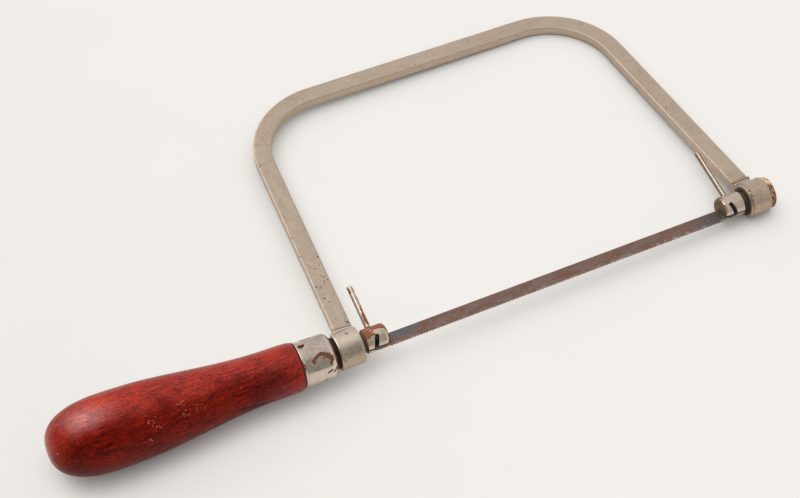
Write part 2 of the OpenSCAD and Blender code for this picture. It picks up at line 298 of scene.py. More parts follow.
def finish_piece(ob, body, material, node, sharp=None):
    ob.data.transform(Matrix.Scale(MM, 4))
    ob.data.polygons.foreach_set("use_smooth", np.ones(len(ob.data.polygons), bool))
    if sharp is not None:
        ob.data.set_sharp_from_angle(angle=math.radians(sharp))
    ob.data.update()
    ob.data.materials.clear()
    ob.data.materials.append(material)
    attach(ob, body)
    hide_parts(node)


def lathe(name, profile, segments, closed=False, shape=None):
    """Turn (x, r) points about X; the angle runs from +Y towards +Z.

    shape(turned) may return moved points. turned holds points, x, radius, angle, ring (the
    profile index) and outward (the radial direction) for every vertex.
    """
    phi = np.linspace(0, 2 * np.pi, segments, endpoint=False)
    columns, rings, start = [], [], 0
    for ring, (x, radius) in enumerate(np.asarray(profile, float)):
        pole = radius < 1e-6
        count = 1 if pole else segments
        columns.append(np.c_[np.full(count, x), np.full(count, 0.0 if pole else radius),
                             phi[:count], np.full(count, ring)])
        rings.append(np.full(segments, start) if pole else np.arange(start, start + count))
        start += count
    x, radius, angle, ring = np.vstack(columns).T
    points = np.c_[x, radius * np.cos(angle), radius * np.sin(angle)]
    if shape is not None:
        outward = points / np.maximum(radius, 1e-6)[:, None]
        outward[:, 0] = 0
        points = shape(SimpleNamespace(points=points, x=x, radius=radius, angle=angle,
                                       ring=ring, outward=outward))
    faces = []
    for i in range(len(rings) if closed else len(rings) - 1):
        a, b = rings[i], rings[(i + 1) % len(rings)]
        for j in range(segments):
            k = (j + 1) % segments
            face = dict.fromkeys((a[j], b[j], b[k], a[k]))      # drops a pole's repeats
            if len(face) > 2:
                faces.append(tuple(face))
    return raw_mesh(name, points, faces)


def rod(name, origin, direction, profile, segments, shape=None, stretch=(1, 1)):
    """A turned piece along any direction but X; profile is (distance along, r)."""
    along = np.array(direction, float) / np.linalg.norm(direction)
    side = np.array([1.0, 0, 0])
    across = np.cross(along, side)
    across /= np.linalg.norm(across)
    ob = lathe(name, profile, segments, shape=shape)
    points = get_points(ob)
    set_points(ob, np.array(origin) + points[:, :1] * along
               + points[:, 1:2] * side * stretch[0] + points[:, 2:3] * across * stretch[1])
    edit(ob.data, face_outward)
    return ob


def box(name, low, high, turn=0.0, at=(0, 0, 0)):
    corners = np.array([[x, y, z] for x in (low[0], high[0]) for y in (low[1], high[1])
                        for z in (low[2], high[2])], float)
    faces = [(0, 1, 3, 2), (4, 6, 7, 5), (0, 4, 5, 1), (2, 3, 7, 6), (0, 2, 6, 4), (1, 5, 7, 3)]
    return raw_mesh(name, corners @ rot_z(turn).T + np.array(at, float), faces)


def profile_arc(x, r, radius, start, end, steps):
    """(x, r) points round a centre; degrees run from +r towards +x."""
    angles = np.radians(np.linspace(start, end, steps + 1))
    return [(x + radius * math.sin(q), r + radius * math.cos(q)) for q in angles]


def arc_points(centre, radius, start, end, count):
    t = np.linspace(start, end, count)
    return np.asarray(centre) + radius * np.c_[np.cos(t), np.sin(t)]


def dense(profile, step, closed=False):
    """Split a profile's edges so none is longer than step."""
    profile = [np.array(p, float) for p in profile]
    if closed:
        profile.append(profile[0])
    result = [profile[0]]
    for a, b in zip(profile[:-1], profile[1:]):
        parts = max(1, int(math.ceil(np.linalg.norm(b - a) / step)))
        result += [a + (b - a) * i / parts for i in range(1, parts + 1)]
    return np.array(result[:-1] if closed else result)


def worn_ring(seed, depth, beyond):
    """A lathe shape that wears the surface down outside a radius."""
    def shape(v):
        wear = depth * np.abs(fbm(v.points, 0.8, seed)) * (v.radius > beyond)
        return v.points - v.outward * wear[:, None]
    return shape


def unit(v):
    return v / np.linalg.norm(v)


# ------------------------------------------------------------------ shader helpers
class Value:
    """A shader output that takes arithmetic; each operation adds one node."""

    def __init__(self, graph, socket):
        self.graph, self.socket = graph, socket

    def __add__(self, other):
        return self.graph.math("ADD", self, other)

    def __sub__(self, other):
        return self.graph.math("SUBTRACT", self, other)

    def __rsub__(self, other):
        return self.graph.math("SUBTRACT", other, self)

    def __mul__(self, other):
        return self.graph.math("MULTIPLY", self, other)

    def __truediv__(self, other):
        return self.graph.math("DIVIDE", self, other)

    def __abs__(self):
        return self.graph.math("ABSOLUTE", self)

    def at_least(self, other):
        return self.graph.math("MAXIMUM", self, other)

    def at_most(self, other):
        return self.graph.math("MINIMUM", self, other)

    def rise(self, start, end, to=(0.0, 1.0)):
        """Smooth step from to[0] at start to to[1] at end; start may be the larger."""
        return self.graph.make("ShaderNodeMapRange", {0: self, 1: start, 2: end,
                                                      3: to[0], 4: to[1]},
                               interpolation_type="SMOOTHSTEP")

    def scaled(self, x, y, z):
        return self.graph.vector("MULTIPLY", self, (x, y, z))


class Graph:
    def __init__(self, tree):
        self.tree = tree
        tree.nodes.clear()

    def put(self, socket, value):
        if isinstance(value, Value):
            self.tree.links.new(value.socket, socket)
        elif value is not None:
            if isinstance(value, tuple) and len(value) == 3 and socket.type == "RGBA":
                value = (*value, 1.0)
            socket.default_value = value

    def make(self, kind, inputs=None, out=0, **settings):
        node = self.tree.nodes.new(kind)
        for key, value in settings.items():
            setattr(node, key, value)
        for key, value in (inputs or {}).items():
            self.put(node.inputs[key], value)
        return Value(self, node.outputs[out])

    def math(self, operation, a, b=None):
        return self.make("ShaderNodeMath", {0: a, 1: b}, operation=operation)

    def vector(self, operation, a, b=None):
        out = "Value" if operation in ("LENGTH", "DISTANCE") else 0
        return self.make("ShaderNodeVectorMath", {0: a, 1: b}, out, operation=operation)

    def xyz(self, vector):
        node = self.make("ShaderNodeSeparateXYZ", {0: vector}).socket.node
        return [Value(self, socket) for socket in node.outputs]

    def mix(self, factor, a, b, blend="MIX"):
        return self.make("ShaderNodeMix", {0: factor, 6: a, 7: b}, 2, data_type="RGBA",
                         blend_type=blend)

    def mixf(self, factor, a, b):
        return self.make("ShaderNodeMix", {0: factor, 2: a, 3: b}, data_type="FLOAT")

    def link_output(self, kind, shader):
        self.put(self.tree.nodes.new(kind).inputs["Surface"], shader)


class Material(Graph):
    """A material whose patterns are laid out in object millimetres."""

    def __init__(self, name):
        self.material = bpy.data.materials.new(name)
        self.material.use_nodes = True
        super().__init__(self.material.node_tree)
        self.place = self.make("ShaderNodeTexCoord", out="Object").scaled(
            1000.0, 1000.0, 1000.0)

    def noise(self, at=None, scale=1.0, detail=4.0, rough=0.55, twist=0.0, out=0):
        return self.make("ShaderNodeTexNoise",
                         {"Vector": at or self.place, "Scale": scale, "Detail": detail,
                          "Roughness": rough, "Distortion": twist}, out)

    def cells(self, at, scale):
        """Distance to the nearest of randomly placed points."""
        return self.make("ShaderNodeTexVoronoi", {"Vector": at, "Scale": scale,
                                                  "Randomness": 1.0}, "Distance")

    def warp(self, scale, amount, detail=3.0):
        """The position, pushed about by noise."""
        colour = self.noise(scale=scale, detail=detail, out="Color")
        push = self.vector("SUBTRACT", colour, (0.5, 0.5, 0.5))
        return self.vector("ADD", self.place, push.scaled(*(2.0 * amount,) * 3))

    def ramp(self, factor, stops):
        value = self.make("ShaderNodeValToRGB", {0: factor})
        elements = value.socket.node.color_ramp.elements
        while len(elements) > 1:
            elements.remove(elements[-1])
        elements[0].position = stops[0][0]
        elements[0].color = (*stops[0][1], 1)
        for position, colour in stops[1:]:
            elements.new(position).color = (*colour, 1)
        return value

    def tint(self, colour, by):
        return self.mix(1.0, colour, by, "MULTIPLY")

    def mask(self, name):
        return self.make("ShaderNodeAttribute", out="Fac", attribute_name=name)

    def nearest(self, distances):
        best = None
        for distance in distances:
            best = best.at_most(distance) if best else distance
        return best

    def near(self, spots, at):
        """Distance to the nearest spot, over its radius; spots: x, y, z, radius."""
        return self.nearest(self.vector("DISTANCE", at, tuple(spot[:3])) / spot[3]
                            for spot in spots)

    def strokes(self, rows, at):
        """Distance to the nearest ellipsoid; rows: centre, rotation, radii."""
        return self.nearest(
            self.vector("LENGTH", self.make(
                "ShaderNodeMapping", {"Vector": at, "Location": centre, "Rotation": rotation,
                                      "Scale": radii}, vector_type="TEXTURE"))
            for centre, rotation, radii in rows)

    def bump(self, height, strength, distance):
        return self.make("ShaderNodeBump", {"Strength": strength, "Distance": distance * MM,
                                            "Height": height})

    def done(self, **inputs):
        inputs = {key.replace("_", " "): value for key, value in inputs.items()}
        self.link_output("ShaderNodeOutputMaterial",
                         self.make("ShaderNodeBsdfPrincipled", inputs))
        return self.material


RUST = [(0.0, (0.075, 0.022, 0.012)), (0.30, (0.20, 0.062, 0.030)),
        (0.55, (0.36, 0.125, 0.058)), (0.82, (0.50, 0.205, 0.105)), (1.0, (0.58, 0.30, 0.18))]
RUST_STRENGTH = 1.0


def shade(colour, *factors):
    return tuple(c * factor for c, factor in zip(colour, factors))


def nickel(name, dark, light, roughness, stain, speck, bump=1.0, rust=RUST, tone=None,
           pits=(), green=()):
    """Aged nickel plate.

    dark, light: the two plate colours; roughness: its range; stain, speck: strength of the
    tarnish and fine speckle; rust: ramp for the "rust" mask, or None; tone: extra colouring;
    pits, green: spots of pitting and green corrosion.
    """
    mat = Material(name)
    broad = mat.noise(scale=0.07, detail=3, rough=0.5)
    mid = mat.noise(scale=0.55, detail=5, rough=0.6)
    fine = mat.noise(scale=3.2, detail=5, rough=0.7)
    colour = mat.mix((broad * 0.55 + mid * 0.45).rise(0.36, 0.64), dark, light)
    # warm tarnish in soft patches
    tarnish = mat.noise(mat.warp(scale=0.3, amount=1.2), scale=0.23, detail=4, rough=0.6)
    colour = mat.mix(tarnish.rise(0.50, 0.70) * stain, colour, shade(dark, 0.86, 0.78, 0.66))
    # the fine speckle, dark then light
    colour = mat.mix(fine.rise(0.50, 0.74) * speck, colour, shade(dark, 0.62, 0.55, 0.47))
    colour = mat.mix(fine.rise(0.46, 0.28) * (speck * 0.7), colour,
                     shade(light, 1.12, 1.13, 1.14))
    if tone is not None:
        colour = tone(mat, colour)
    rough = mat.mixf(mid.rise(0.35, 0.65), *roughness) + (fine - 0.5) * 0.22
    height = fine * 0.35 + mat.noise(scale=1.1, detail=3) * 0.65

    # the mask darkens the plate with grime, and with painted shade in slots, necks and narrow
    # gaps between parts
    soil_and_shade = (mat.mask("dirt_and_shade") + (mid - 0.5) * 0.9).rise(0.42, 0.72)
    colour = mat.mix(soil_and_shade * 0.9, colour, (0.026, 0.016, 0.010))
    rough = mat.mixf(soil_and_shade, rough, 0.75)
    metal = mat.mixf(soil_and_shade, 1.0, 0.2)
    if pits:
        # the listed pits, and random ones scattered in patches
        warped = mat.warp(scale=1.6, amount=0.22, detail=2)
        listed = mat.near(pits, warped).rise(1.25, 0.65)
        scattered = mat.cells(warped, scale=0.42).rise(0.20, 0.09)
        pit = listed.at_least(scattered * mat.noise(scale=0.16, detail=2).rise(0.57, 0.63))
        pit_colour = mat.mix(mat.noise(scale=1.4, detail=2),
                             (0.030, 0.018, 0.010), (0.16, 0.075, 0.035))
        colour = mat.mix(pit, colour, pit_colour)
        rough = mat.mixf(pit, rough, 0.85)
        metal = mat.mixf(pit, metal, 0.15)
        height = height - pit * 1.4
    if rust:
        ragged = (mat.noise(scale=1.7, detail=6, rough=0.68) - 0.5) * 1.5
        cover = (mat.mask("rust") + ragged).rise(0.44, 0.58)
        grain = mat.noise(scale=2.1, detail=6, rough=0.7)
        rust_colour = mat.ramp(grain.rise(0.26, 0.76), rust)
        cover = cover * RUST_STRENGTH
        colour = mat.mix(cover, colour, rust_colour)
        rough = mat.mixf(cover, rough, 0.80)
        metal = mat.mixf(cover, metal, 0.12)
        height = height + cover * grain * 1.6
    if green:
        spots = mat.near(green, mat.warp(scale=2.4, amount=0.3, detail=2)).rise(1.15, 0.55)
        colour = mat.mix(spots, colour, (0.06, 0.30, 0.09))
        metal = metal * (1.0 - spots)
        rough = mat.mixf(spots, rough, 0.6)
    return mat.done(Base_Color=colour, Metallic=metal, Roughness=rough,
                    Normal=mat.bump(height, strength=0.30 * bump, distance=0.05))


def rusty(name, stops, dark=0.0):
    """Rusted steel; dark shifts the colours towards the low end of the ramp."""
    mat = Material(name)
    mottle = mat.noise(mat.warp(scale=0.6, amount=0.5), scale=1.3, detail=7, rough=0.68)
    broad = mat.noise(scale=0.39, detail=3)
    blend = (mottle * 0.65 + broad * 0.35).rise(0.30 + dark, 0.70 + dark)
    fine = mat.noise(scale=5.5, detail=4, rough=0.7)
    colour = mat.mix(fine.rise(0.52, 0.72, to=(0.0, 0.5)), mat.ramp(blend, stops),
                     (0.02, 0.010, 0.007))
    return mat.done(Base_Color=colour, Metallic=0.25, Roughness=mat.mixf(mottle, 0.62, 0.85),
                    Normal=mat.bump(mottle + fine * 0.4, strength=0.6, distance=0.10))


# ------------------------------------------------------------------ the bow
def bar_section():
    """The rounded rectangle of the bar: (across, z) points."""
    x, z = BAR_WIDTH / 2 - BAR_EDGE_R, BAR_THICK / 2 - BAR_EDGE_R
    quarter = math.pi / 2
    corners = np.vstack([arc_points(centre, BAR_EDGE_R, i * quarter, (i + 1) * quarter, 8)
                         for i, centre in enumerate(((x, z), (-x, z), (-x, -z), (x, -z)))])
    section = []
    for p, q in zip(corners, np.roll(corners, -1, 0)):
        section.append(p)
        length = math.hypot(*(q - p))
        if length > 1.0:
            parts = int(length / 0.7)
            section += [p + (q - p) * j / parts for j in range(1, parts)]
    return np.array(section)


def bow_path(start=6.0, end=6.0, step=1.1):
    """The bar's centre line; it starts and ends a little way up the legs, inside the eyes."""
    def bend(before, corner, after):
        d1, d2 = unit(before - corner), unit(after - corner)
        half = math.acos(np.clip(d1 @ d2, -1, 1)) / 2
        centre = corner + unit(d1 + d2) * BEND_R / math.sin(half)
        first, last = (corner + d * BEND_R / math.tan(half) for d in (d1, d2))
        a1, a2 = (math.atan2(*(p - centre)[::-1]) for p in (first, last))
        turn = (a2 - a1 + math.pi) % (2 * math.pi) - math.pi
        return first, arc_points(centre, BEND_R, a1, a1 + turn, 45), last

    def line(a, b):
        return np.linspace(a, b, max(2, int(np.linalg.norm(b - a) / step)) + 1)

    rear_first, rear_bend, rear_last = bend(REAR_FOOT, REAR_CORNER, FRONT_CORNER)
    front_first, front_bend, front_last = bend(REAR_CORNER, FRONT_CORNER, FRONT_FOOT)
    begin = REAR_FOOT + unit(REAR_CORNER - REAR_FOOT) * start
    finish = FRONT_FOOT + unit(FRONT_CORNER - FRONT_FOOT) * end
    return np.vstack([line(begin, rear_first)[:-1], rear_bend[:-1],
                      line(rear_last, front_first)[:-1], front_bend[:-1],
                      line(front_last, finish)])


def make_bar():
    path, section = bow_path(), bar_section()
    tangent = np.gradient(path, axis=0)
    tangent /= np.linalg.norm(tangent, axis=1)[:, None]
    outward = np.c_[-tangent[:, 1], tangent[:, 0]]
    throat = np.array([92.0, 60.0])
    outward *= np.sign(((path - throat) * outward).sum(1))[:, None]
    rows, columns = len(path), len(section)

    def sweep(flat):
        return np.dstack([flat[None, :, 0, None] * outward[:, None, :],
                          np.tile(flat[:, 1], (rows, 1))])

    points = sweep(section)
    points[:, :, :2] += path[:, None, :]
    points = points.reshape(-1, 3)
    # the waviness of the strip, along the section's normals
    core = np.array([BAR_WIDTH, BAR_THICK]) / 2 - BAR_EDGE_R
    normal = np.clip(np.abs(section) - core, 0, None) * np.sign(section)
    normal /= np.linalg.norm(normal, axis=1)[:, None]
    wave = 0.045 * fbm(points, 0.07, 5, 3) + 0.018 * fbm(points, 0.5, 9, 3)
    points = points + sweep(normal).reshape(-1, 3) * wave[:, None]
    faces = quad_grid(rows, columns)
    faces.append(tuple(range(columns)))
    faces.append(tuple((rows - 1) * columns + j for j in range(columns))[::-1])
    return raw_mesh("bow_frame", points, faces)


EYE_BORE_R, EYE_BORE_CHAMFER = 4.1, 0.4
EYE_LOW_FILLET, EYE_LOW_Z = 5.0, 2.02          # where the eye runs into the tail's -Z side
# how an eye's edge rounds over: (distance in from the face, inset), both over the chamfer
EYE_EDGE = [(0.0, 1.0), (0.10, 0.74), (0.26, 0.48), (0.46, 0.26), (0.70, 0.09), (1.0, 0.0)]


def eye_contour(radius, fillet, top_z, tail_top):
    """(y, z) outline of an eye and its tail, with its outward normals."""
    low_fillet, low_z = EYE_LOW_FILLET, EYE_LOW_Z
    top_y = math.sqrt((radius + fillet) ** 2 - (top_z + fillet) ** 2)
    top_touch = math.atan2(top_z + fillet, top_y)
    low_y = math.sqrt((radius + low_fillet) ** 2 - (low_z + low_fillet) ** 2)
    low_touch = -math.atan2(low_z + low_fillet, low_y)

    def fillet_angle(touch, centre):
        run = radius * np.array([math.cos(touch), math.sin(touch)]) - centre
        return math.atan2(run[1], run[0])

    top_centre = np.array([top_y, top_z + fillet])
    low_centre = np.array([low_y, -(low_z + low_fillet)])
    tip = tail_top[-1][0]
    contour = np.vstack([
        arc_points((0, 0), radius, top_touch, 2 * math.pi + low_touch, 150),
        arc_points(low_centre, low_fillet, fillet_angle(low_touch, low_centre),
                   math.pi / 2, 14)[1:],
        [(low_y + 0.25, -low_z + 0.12), (low_y + 0.3, -low_z + 0.5), (low_y - 0.2, -1.0),
         (tip + 0.1, -0.3), (tip + 0.12, 0.5), (tip + 0.10, 1.3)],
        tail_top[::-1],
        arc_points(top_centre, fillet, -math.pi / 2,
                   fillet_angle(top_touch, top_centre), 14)[:-1]])
    # drop doubled points
    keep = [0]
    for i in range(1, len(contour)):
        if np.linalg.norm(contour[i] - contour[keep[-1]]) > 0.03:
            keep.append(i)
    contour = contour[keep]
    if np.linalg.norm(contour[0] - contour[-1]) < 0.03:
        contour = contour[:-1]
    tangent = np.roll(contour, -1, 0) - np.roll(contour, 1, 0)
    tangent /= np.linalg.norm(tangent, axis=1)[:, None]
    normal = np.c_[tangent[:, 1], -tangent[:, 0]]
    return contour, normal * np.sign((normal * contour).sum(1))[:, None]


def make_eye(name, x_range, radius, foot, corner, chamfer, seed, skew, fillet, top_z, tail_top):
    """An eye and the lapped tail that runs up the bar: loops swept across X and the bore."""
    contour, normal = eye_contour(radius, fillet, top_z, tail_top)
    count = len(contour)
    leg = unit(corner - foot)
    bar_x = foot[0] + contour[:, 0] / leg[1] * leg[0]
    # the width narrows from the eye's to the bar's
    narrow = smoothstep(5.2, 8.0, contour[:, 0])
    half = BAR_WIDTH / 2
    left = x_range[0] + (bar_x - half - 0.04 - x_range[0]) * narrow
    right = x_range[1] + (bar_x + half + 0.04 - x_range[1]) * narrow

    def inset(amount):
        return contour - normal * (amount * chamfer)

    angle = np.arctan2(contour[:, 1], contour[:, 0])
    ray = np.c_[np.cos(angle), np.sin(angle)]
    face_r = np.linalg.norm(inset(1.0), axis=1)
    rim = EYE_BORE_R + EYE_BORE_CHAMFER

    def face_loop(t):
        return ray * (face_r + (rim - face_r) * t)[:, None]

    def between(a, b, t):
        return a + (b - a) * t

    spans = 16
    bore = ray * EYE_BORE_R
    bore_right, bore_left = right - EYE_BORE_CHAMFER, left + EYE_BORE_CHAMFER
    loops = [(left + u * chamfer, inset(amount)) for u, amount in EYE_EDGE]
    loops += [(between(left + chamfer, right - chamfer, k / spans), contour)
              for k in range(1, spans)]
    loops += [(right - u * chamfer, inset(amount)) for u, amount in EYE_EDGE[::-1]]
    loops += [(right, face_loop(t)) for t in (0.35, 0.7)]
    loops += [(right, ray * rim), (bore_right, bore)]
    loops += [(between(bore_right, bore_left, t), bore) for t in (0.33, 0.66)]
    loops += [(bore_left, bore), (left, ray * rim)]
    loops += [(left, face_loop(t)) for t in (0.7, 0.35)]
    grid = np.array([np.c_[x, yz] for x, yz in loops])
    # the end of the lap runs a little skew across the bar
    grid[:, :, 1] += smoothstep(7.2, 8.4, grid[:, :, 1]) * skew * (grid[:, :, 0] - bar_x)
    points = grid.reshape(-1, 3)
    distance = np.hypot(points[:, 1], points[:, 2])
    outward = points / np.maximum(distance, 1e-6)[:, None]
    outward[:, 0] = 0
    outer = smoothstep(EYE_BORE_R + 0.8, EYE_BORE_R + 2.0, distance)
    wave = 0.05 * fbm(points, 0.22, seed, 3) + 0.02 * fbm(points, 0.9, seed + 3, 3)
    points = points + outward * (outer * wave)[:, None]
    # both rims are worn unevenly
    edge = np.zeros((len(loops), count))
    edge[0:6] = np.linspace(1, 0, 6)[:, None]
    edge[spans + 5:spans + 11] = np.linspace(0, 1, 6)[:, None]
    wear = 0.10 * np.clip(fbm(points, 0.7, seed + 8, 3) + 0.3, 0, None)
    points = points - outward * (edge.reshape(-1) * wear)[:, None]
    return raw_mesh(name, points, quad_grid(len(loops), count, close_rows=True))


def bow_dirt_and_shade(points):
    """Dirt at the ends of the laps; painted shade with old grease on the eye faces in the narrow
    gaps.
    """
    x, y = points[:, 0], points[:, 1]
    rear_y = y + 0.064 * (x - 0.98)
    front_y = y - 0.05 * (x - 185.4)
    distance = np.hypot(y, points[:, 2])
    return np.maximum.reduce([
        (x < 60) * 0.95 * bell(rear_y, 8.85, 0.22),
        (x > 150) * (0.85 * bell(front_y, 8.86, 0.16) + 0.7 * bell(front_y, 9.95, 0.16)),
        # painted shade: the front eye's face beside the head, and the rear eye's face by the
        # washer
        ((x > 150) & (x < 181.35) & (y < 7.3)) * 0.95 * (1 - smoothstep(5.8, 6.6, distance)),
        ((x > -7) & (x < -5.75)) * 0.95 * (1 - smoothstep(6.2, 7.0, distance))])


# spots on the bow: x, y, z, radius
BOW_PITS = [
    (6.94, 47.07, 2, 0.42), (0.44, 50.0, 2, 0.30), (1.34, 44.43, 2, 0.24),
    (1.66, 43.1, 2, 0.24), (3.35, 41.51, 2, 0.34), (4.02, 37.27, 2, 0.28),
    (4.87, 36.09, 2, 0.32), (0.08, 32.53, 2, 0.40), (1.3, 31.35, 2, 0.34),
    (1.9, 31.9, 2, 0.24), (0.72, 25.7, 2, 0.46), (1.76, 23.08, 2, 0.34),
    (4.2, 10.9, 2, 0.42), (3.5, 10.2, 2, 0.28), (2.9, 34.6, 2, 0.22),
    (5.4, 42.5, 2, 0.20), (-0.6, 38.6, 2, 0.2), (5.9, 30.0, 2, 0.2),
    (0.0, 1.55, 7.4, 0.45), (-0.5, 1.8, 7.4, 0.35), (182.23, -1.3, 7.28, 0.48),
    (178.13, 59.77, 2, 0.36), (179.55, 85.26, 2, 0.24), (183.8, 40.36, 2, 0.26),
    (176.9, 66.0, 2, 0.2), (184.6, 22.0, 2, 0.22), (58.3, 130.1, 0.2, 0.3),
    (72.9, 130.1, -0.3, 0.26), (92.5, 130.1, 0.5, 0.24), (36.7, 129.0, 0.4, 0.3),
    (44.0, 130.0, -0.6, 0.22), (112.4, 129.9, 0.2, 0.2), (37.18, 132.74, 2, 0.25)]
BOW_ORANGE = [(182.09, -3.2, 6.67, 0.55), (182.51, -3.84, 6.33, 0.5)]
BOW_GREEN = [
    (-3.75, -5.9, 4.8, 0.62), (-2.49, -6.7, 3.55, 0.42), (-4.44, -7.25, 2.3, 0.62),
    (2.5, -6.05, 4.6, 0.55), (-1.05, -5.95, 4.75, 0.34), (5.1, 15.07, 1.8, 0.5),
    (5.1, 14.0, 1.8, 0.3)]


def bow_tone(mat, colour):
    x, y, z = mat.xyz(mat.place)
    # painted reflection: the strip's sides, picked by their normals, are painted a browner tan
    normal_z = mat.xyz(mat.make("ShaderNodeNewGeometry", out="Normal"))[2]
    blotch = mat.noise(scale=0.35, detail=4).rise(0.25, 0.75, to=(0.25, 0.75))
    colour = mat.mix(abs(normal_z).rise(0.80, 0.35) * blotch, colour, (0.47, 0.36, 0.25))
    # the seams where the laps end
    seam_colour = (0.060, 0.034, 0.020)
    rear_y = y + (x - 0.98) * 0.064
    wobble = (mat.noise(scale=1.1, detail=3) - 0.5) * 0.35
    rear_seam = abs(rear_y - 8.94 + wobble).rise(0.34, 0.15) * x.rise(60, 50)
    front_y = y - (x - 184.9) * 0.05
    groove_start = abs(front_y - 8.88 + wobble).rise(0.20, 0.08)
    groove_end = abs(front_y - 9.98 + wobble).rise(0.22, 0.08)
    front_seam = (groove_start.at_least(groove_end) * 0.8
                  * (x.rise(150, 160) * x.rise(188.4, 187.6)))
    seam = rear_seam.at_least(front_seam) * z.rise(1.2, 1.8)
    colour = mat.mix(seam * 0.88, colour, seam_colour)
    # a short crack beside the rear seam
    crack = mat.strokes([((4.15, 10.55, 2.0), (0, 0, math.radians(119)), (1.75, 0.20, 0.6))],
                        mat.warp(scale=1.6, amount=0.12)).rise(1.15, 0.8)
    colour = mat.mix(crack * 0.8, colour, seam_colour)
    # mottling of the front eye
    mottle = mat.noise(mat.warp(scale=1.4, amount=0.4), scale=1.5, detail=6, rough=0.72)
    mottle = mottle.rise(0.46, 0.62) * (x.rise(178, 181) * y.rise(24, 6))
    colour = mat.mix(mottle * 0.62, colour, (0.25, 0.165, 0.10))
    # painted reflection: a darker grey band along the -Y shoulder of the rear eye
    band = abs(y + 3.2).rise(2.9, 0.9) * x.rise(7.0, 6.0) * z.rise(2.0, 4.0)
    broken = mat.noise(mat.place.scaled(1.0, 1.0, 1.0), scale=2.2, detail=6, rough=0.75)
    broken = broken.rise(0.40, 0.62, to=(0.15, 0.85))
    colour = mat.mix(band * broken * 0.34, colour, (0.27, 0.245, 0.225))
    # painted shade makes the rear leg a touch darker; a painted highlight makes its eye lighter
    colour = mat.mix(x.rise(70, 10, to=(0.0, 0.07)), colour, (0.0, 0.0, 0.0))
    rear_eye_highlight = x.rise(7.0, 6.0) * y.rise(8.9, 8.5) * y.rise(-6.0, -1.0)
    colour = mat.mix(rear_eye_highlight * 0.55, colour, (0.80, 0.71, 0.61))
    # the rear rim of the front eye, and orange spots on that eye
    rim = abs(x - 181.9).rise(0.55, 0.25) * (y.rise(8.0, 7.0) * x.rise(180, 181))
    uneven = mat.noise(scale=0.9, detail=4).rise(0.35, 0.60, to=(0.2, 0.75))
    colour = mat.mix(rim * uneven, colour, (0.24, 0.15, 0.085))
    orange = mat.near(BOW_ORANGE, mat.warp(scale=1.5, amount=0.25)).rise(1.3, 0.6)
    return mat.mix(orange * 0.9, colour, (0.42, 0.17, 0.05))


def make_bow():
    bow = make_bar()
    # tail_top: (y, z) from the eye outwards along the lap's +Z side and over its end
    rear_eye = make_eye(
        "rear_eye", (-5.9, 4.4), 7.6, REAR_FOOT, REAR_CORNER, chamfer=0.32, seed=21,
        skew=-0.064, fillet=2.0, top_z=2.22,
        tail_top=[(8.62, 2.22), (8.74, 2.19), (8.82, 2.08), (8.85, 1.9)])
    front_eye = make_eye(
        "front_eye", (181.1, 190.95), 7.4, FRONT_FOOT, FRONT_CORNER, chamfer=0.62, seed=33,
        skew=0.05, fillet=1.3, top_z=2.34,
        tail_top=[(8.25, 2.36), (8.55, 2.30), (8.75, 2.12), (8.98, 2.12), (9.18, 2.32),
                  (9.5, 2.36), (9.78, 2.26), (9.88, 2.05), (9.9, 1.9)])
    boolean(bow, rear_eye, "UNION")
    boolean(bow, front_eye, "UNION")
    points = get_points(bow)
    set_mask(bow, "dirt_and_shade", bow_dirt_and_shade(points))
    set_mask(bow, "rust", np.zeros(len(points)))
    material = nickel("bow_nickel", (0.545, 0.442, 0.352), (0.60, 0.494, 0.402),
                      roughness=(0.34, 0.44), stain=0.40, speck=0.42, rust=None,
                      tone=bow_tone, pits=BOW_PITS, green=BOW_GREEN)
    finish_piece(bow, "bow", material, "frame", sharp=32)


make_bow()

# ------------------------------------------------------------------ handle
BUTT_SHARE = 0.25               # the rounded butt's share of the grip's length
# past the butt: share of the grip's length, share of its radius
GRIP_STATIONS = np.array([
    (BUTT_SHARE, 1.0), (0.367, 0.978), (0.425, 0.950), (0.541, 0.864), (0.658, 0.773),
    (0.774, 0.698), (0.861, 0.673), (0.949, 0.668), (0.980, 0.655),
    (1.0, (FERRULE_R + 0.16) / GRIP_R)])


def grip_radius(x):
    """A superelliptic butt, then a Hermite curve through the stations."""
    share = np.clip((x - GRIP_X0) / GRIP_LENGTH, 0, 1)
    along, size = GRIP_STATIONS.T
    slope = np.zeros(len(along))
    slope[1:-1] = (size[2:] - size[:-2]) / (along[2:] - along[:-2])
    slope[-1] = (size[-1] - size[-2]) / (along[-1] - along[-2])
    i = np.clip(np.searchsorted(along, share, side="left") - 1, 0, len(along) - 2)
    h = along[i + 1] - along[i]
    t = (share - along[i]) / h
    curve = (size[i] * (2 * t ** 3 - 3 * t ** 2 + 1) + slope[i] * h * (t ** 3 - 2 * t ** 2 + t)
             + size[i + 1] * (-2 * t ** 3 + 3 * t ** 2) + slope[i + 1] * h * (t ** 3 - t ** 2))
    butt = (1 - np.clip(1 - share / BUTT_SHARE, 0, 1) ** 2.5) ** 0.4
    return GRIP_R * np.where(share < BUTT_SHARE, butt, curve)


# x, degrees round, half length, half width, depth
GRIP_DENTS = [
    (-59.7, 127.5, 1.6, 0.8, 0.22), (-51.0, 141.6, 1.5, 0.9, 0.16),
    (-106.2, 134.8, 1.2, 0.8, 0.14), (-98.4, 156.2, 3.4, 0.35, 0.22),
    (-102.3, 153.5, 2.6, 0.3, 0.18), (-94.5, 159.5, 2.8, 0.3, 0.16),
    (-121.0, 137.0, 0.8, 0.7, 0.2), (-83.8, 142.0, 1.6, 1.6, 0.10),
    (-70.8, 138.0, 1.4, 1.2, 0.09), (-44.0, 184.0, 7.5, 0.35, 0.12),
    (-40.0, 189.0, 6.0, 0.3, 0.10), (-47.0, 178.5, 6.5, 0.28, 0.10)]
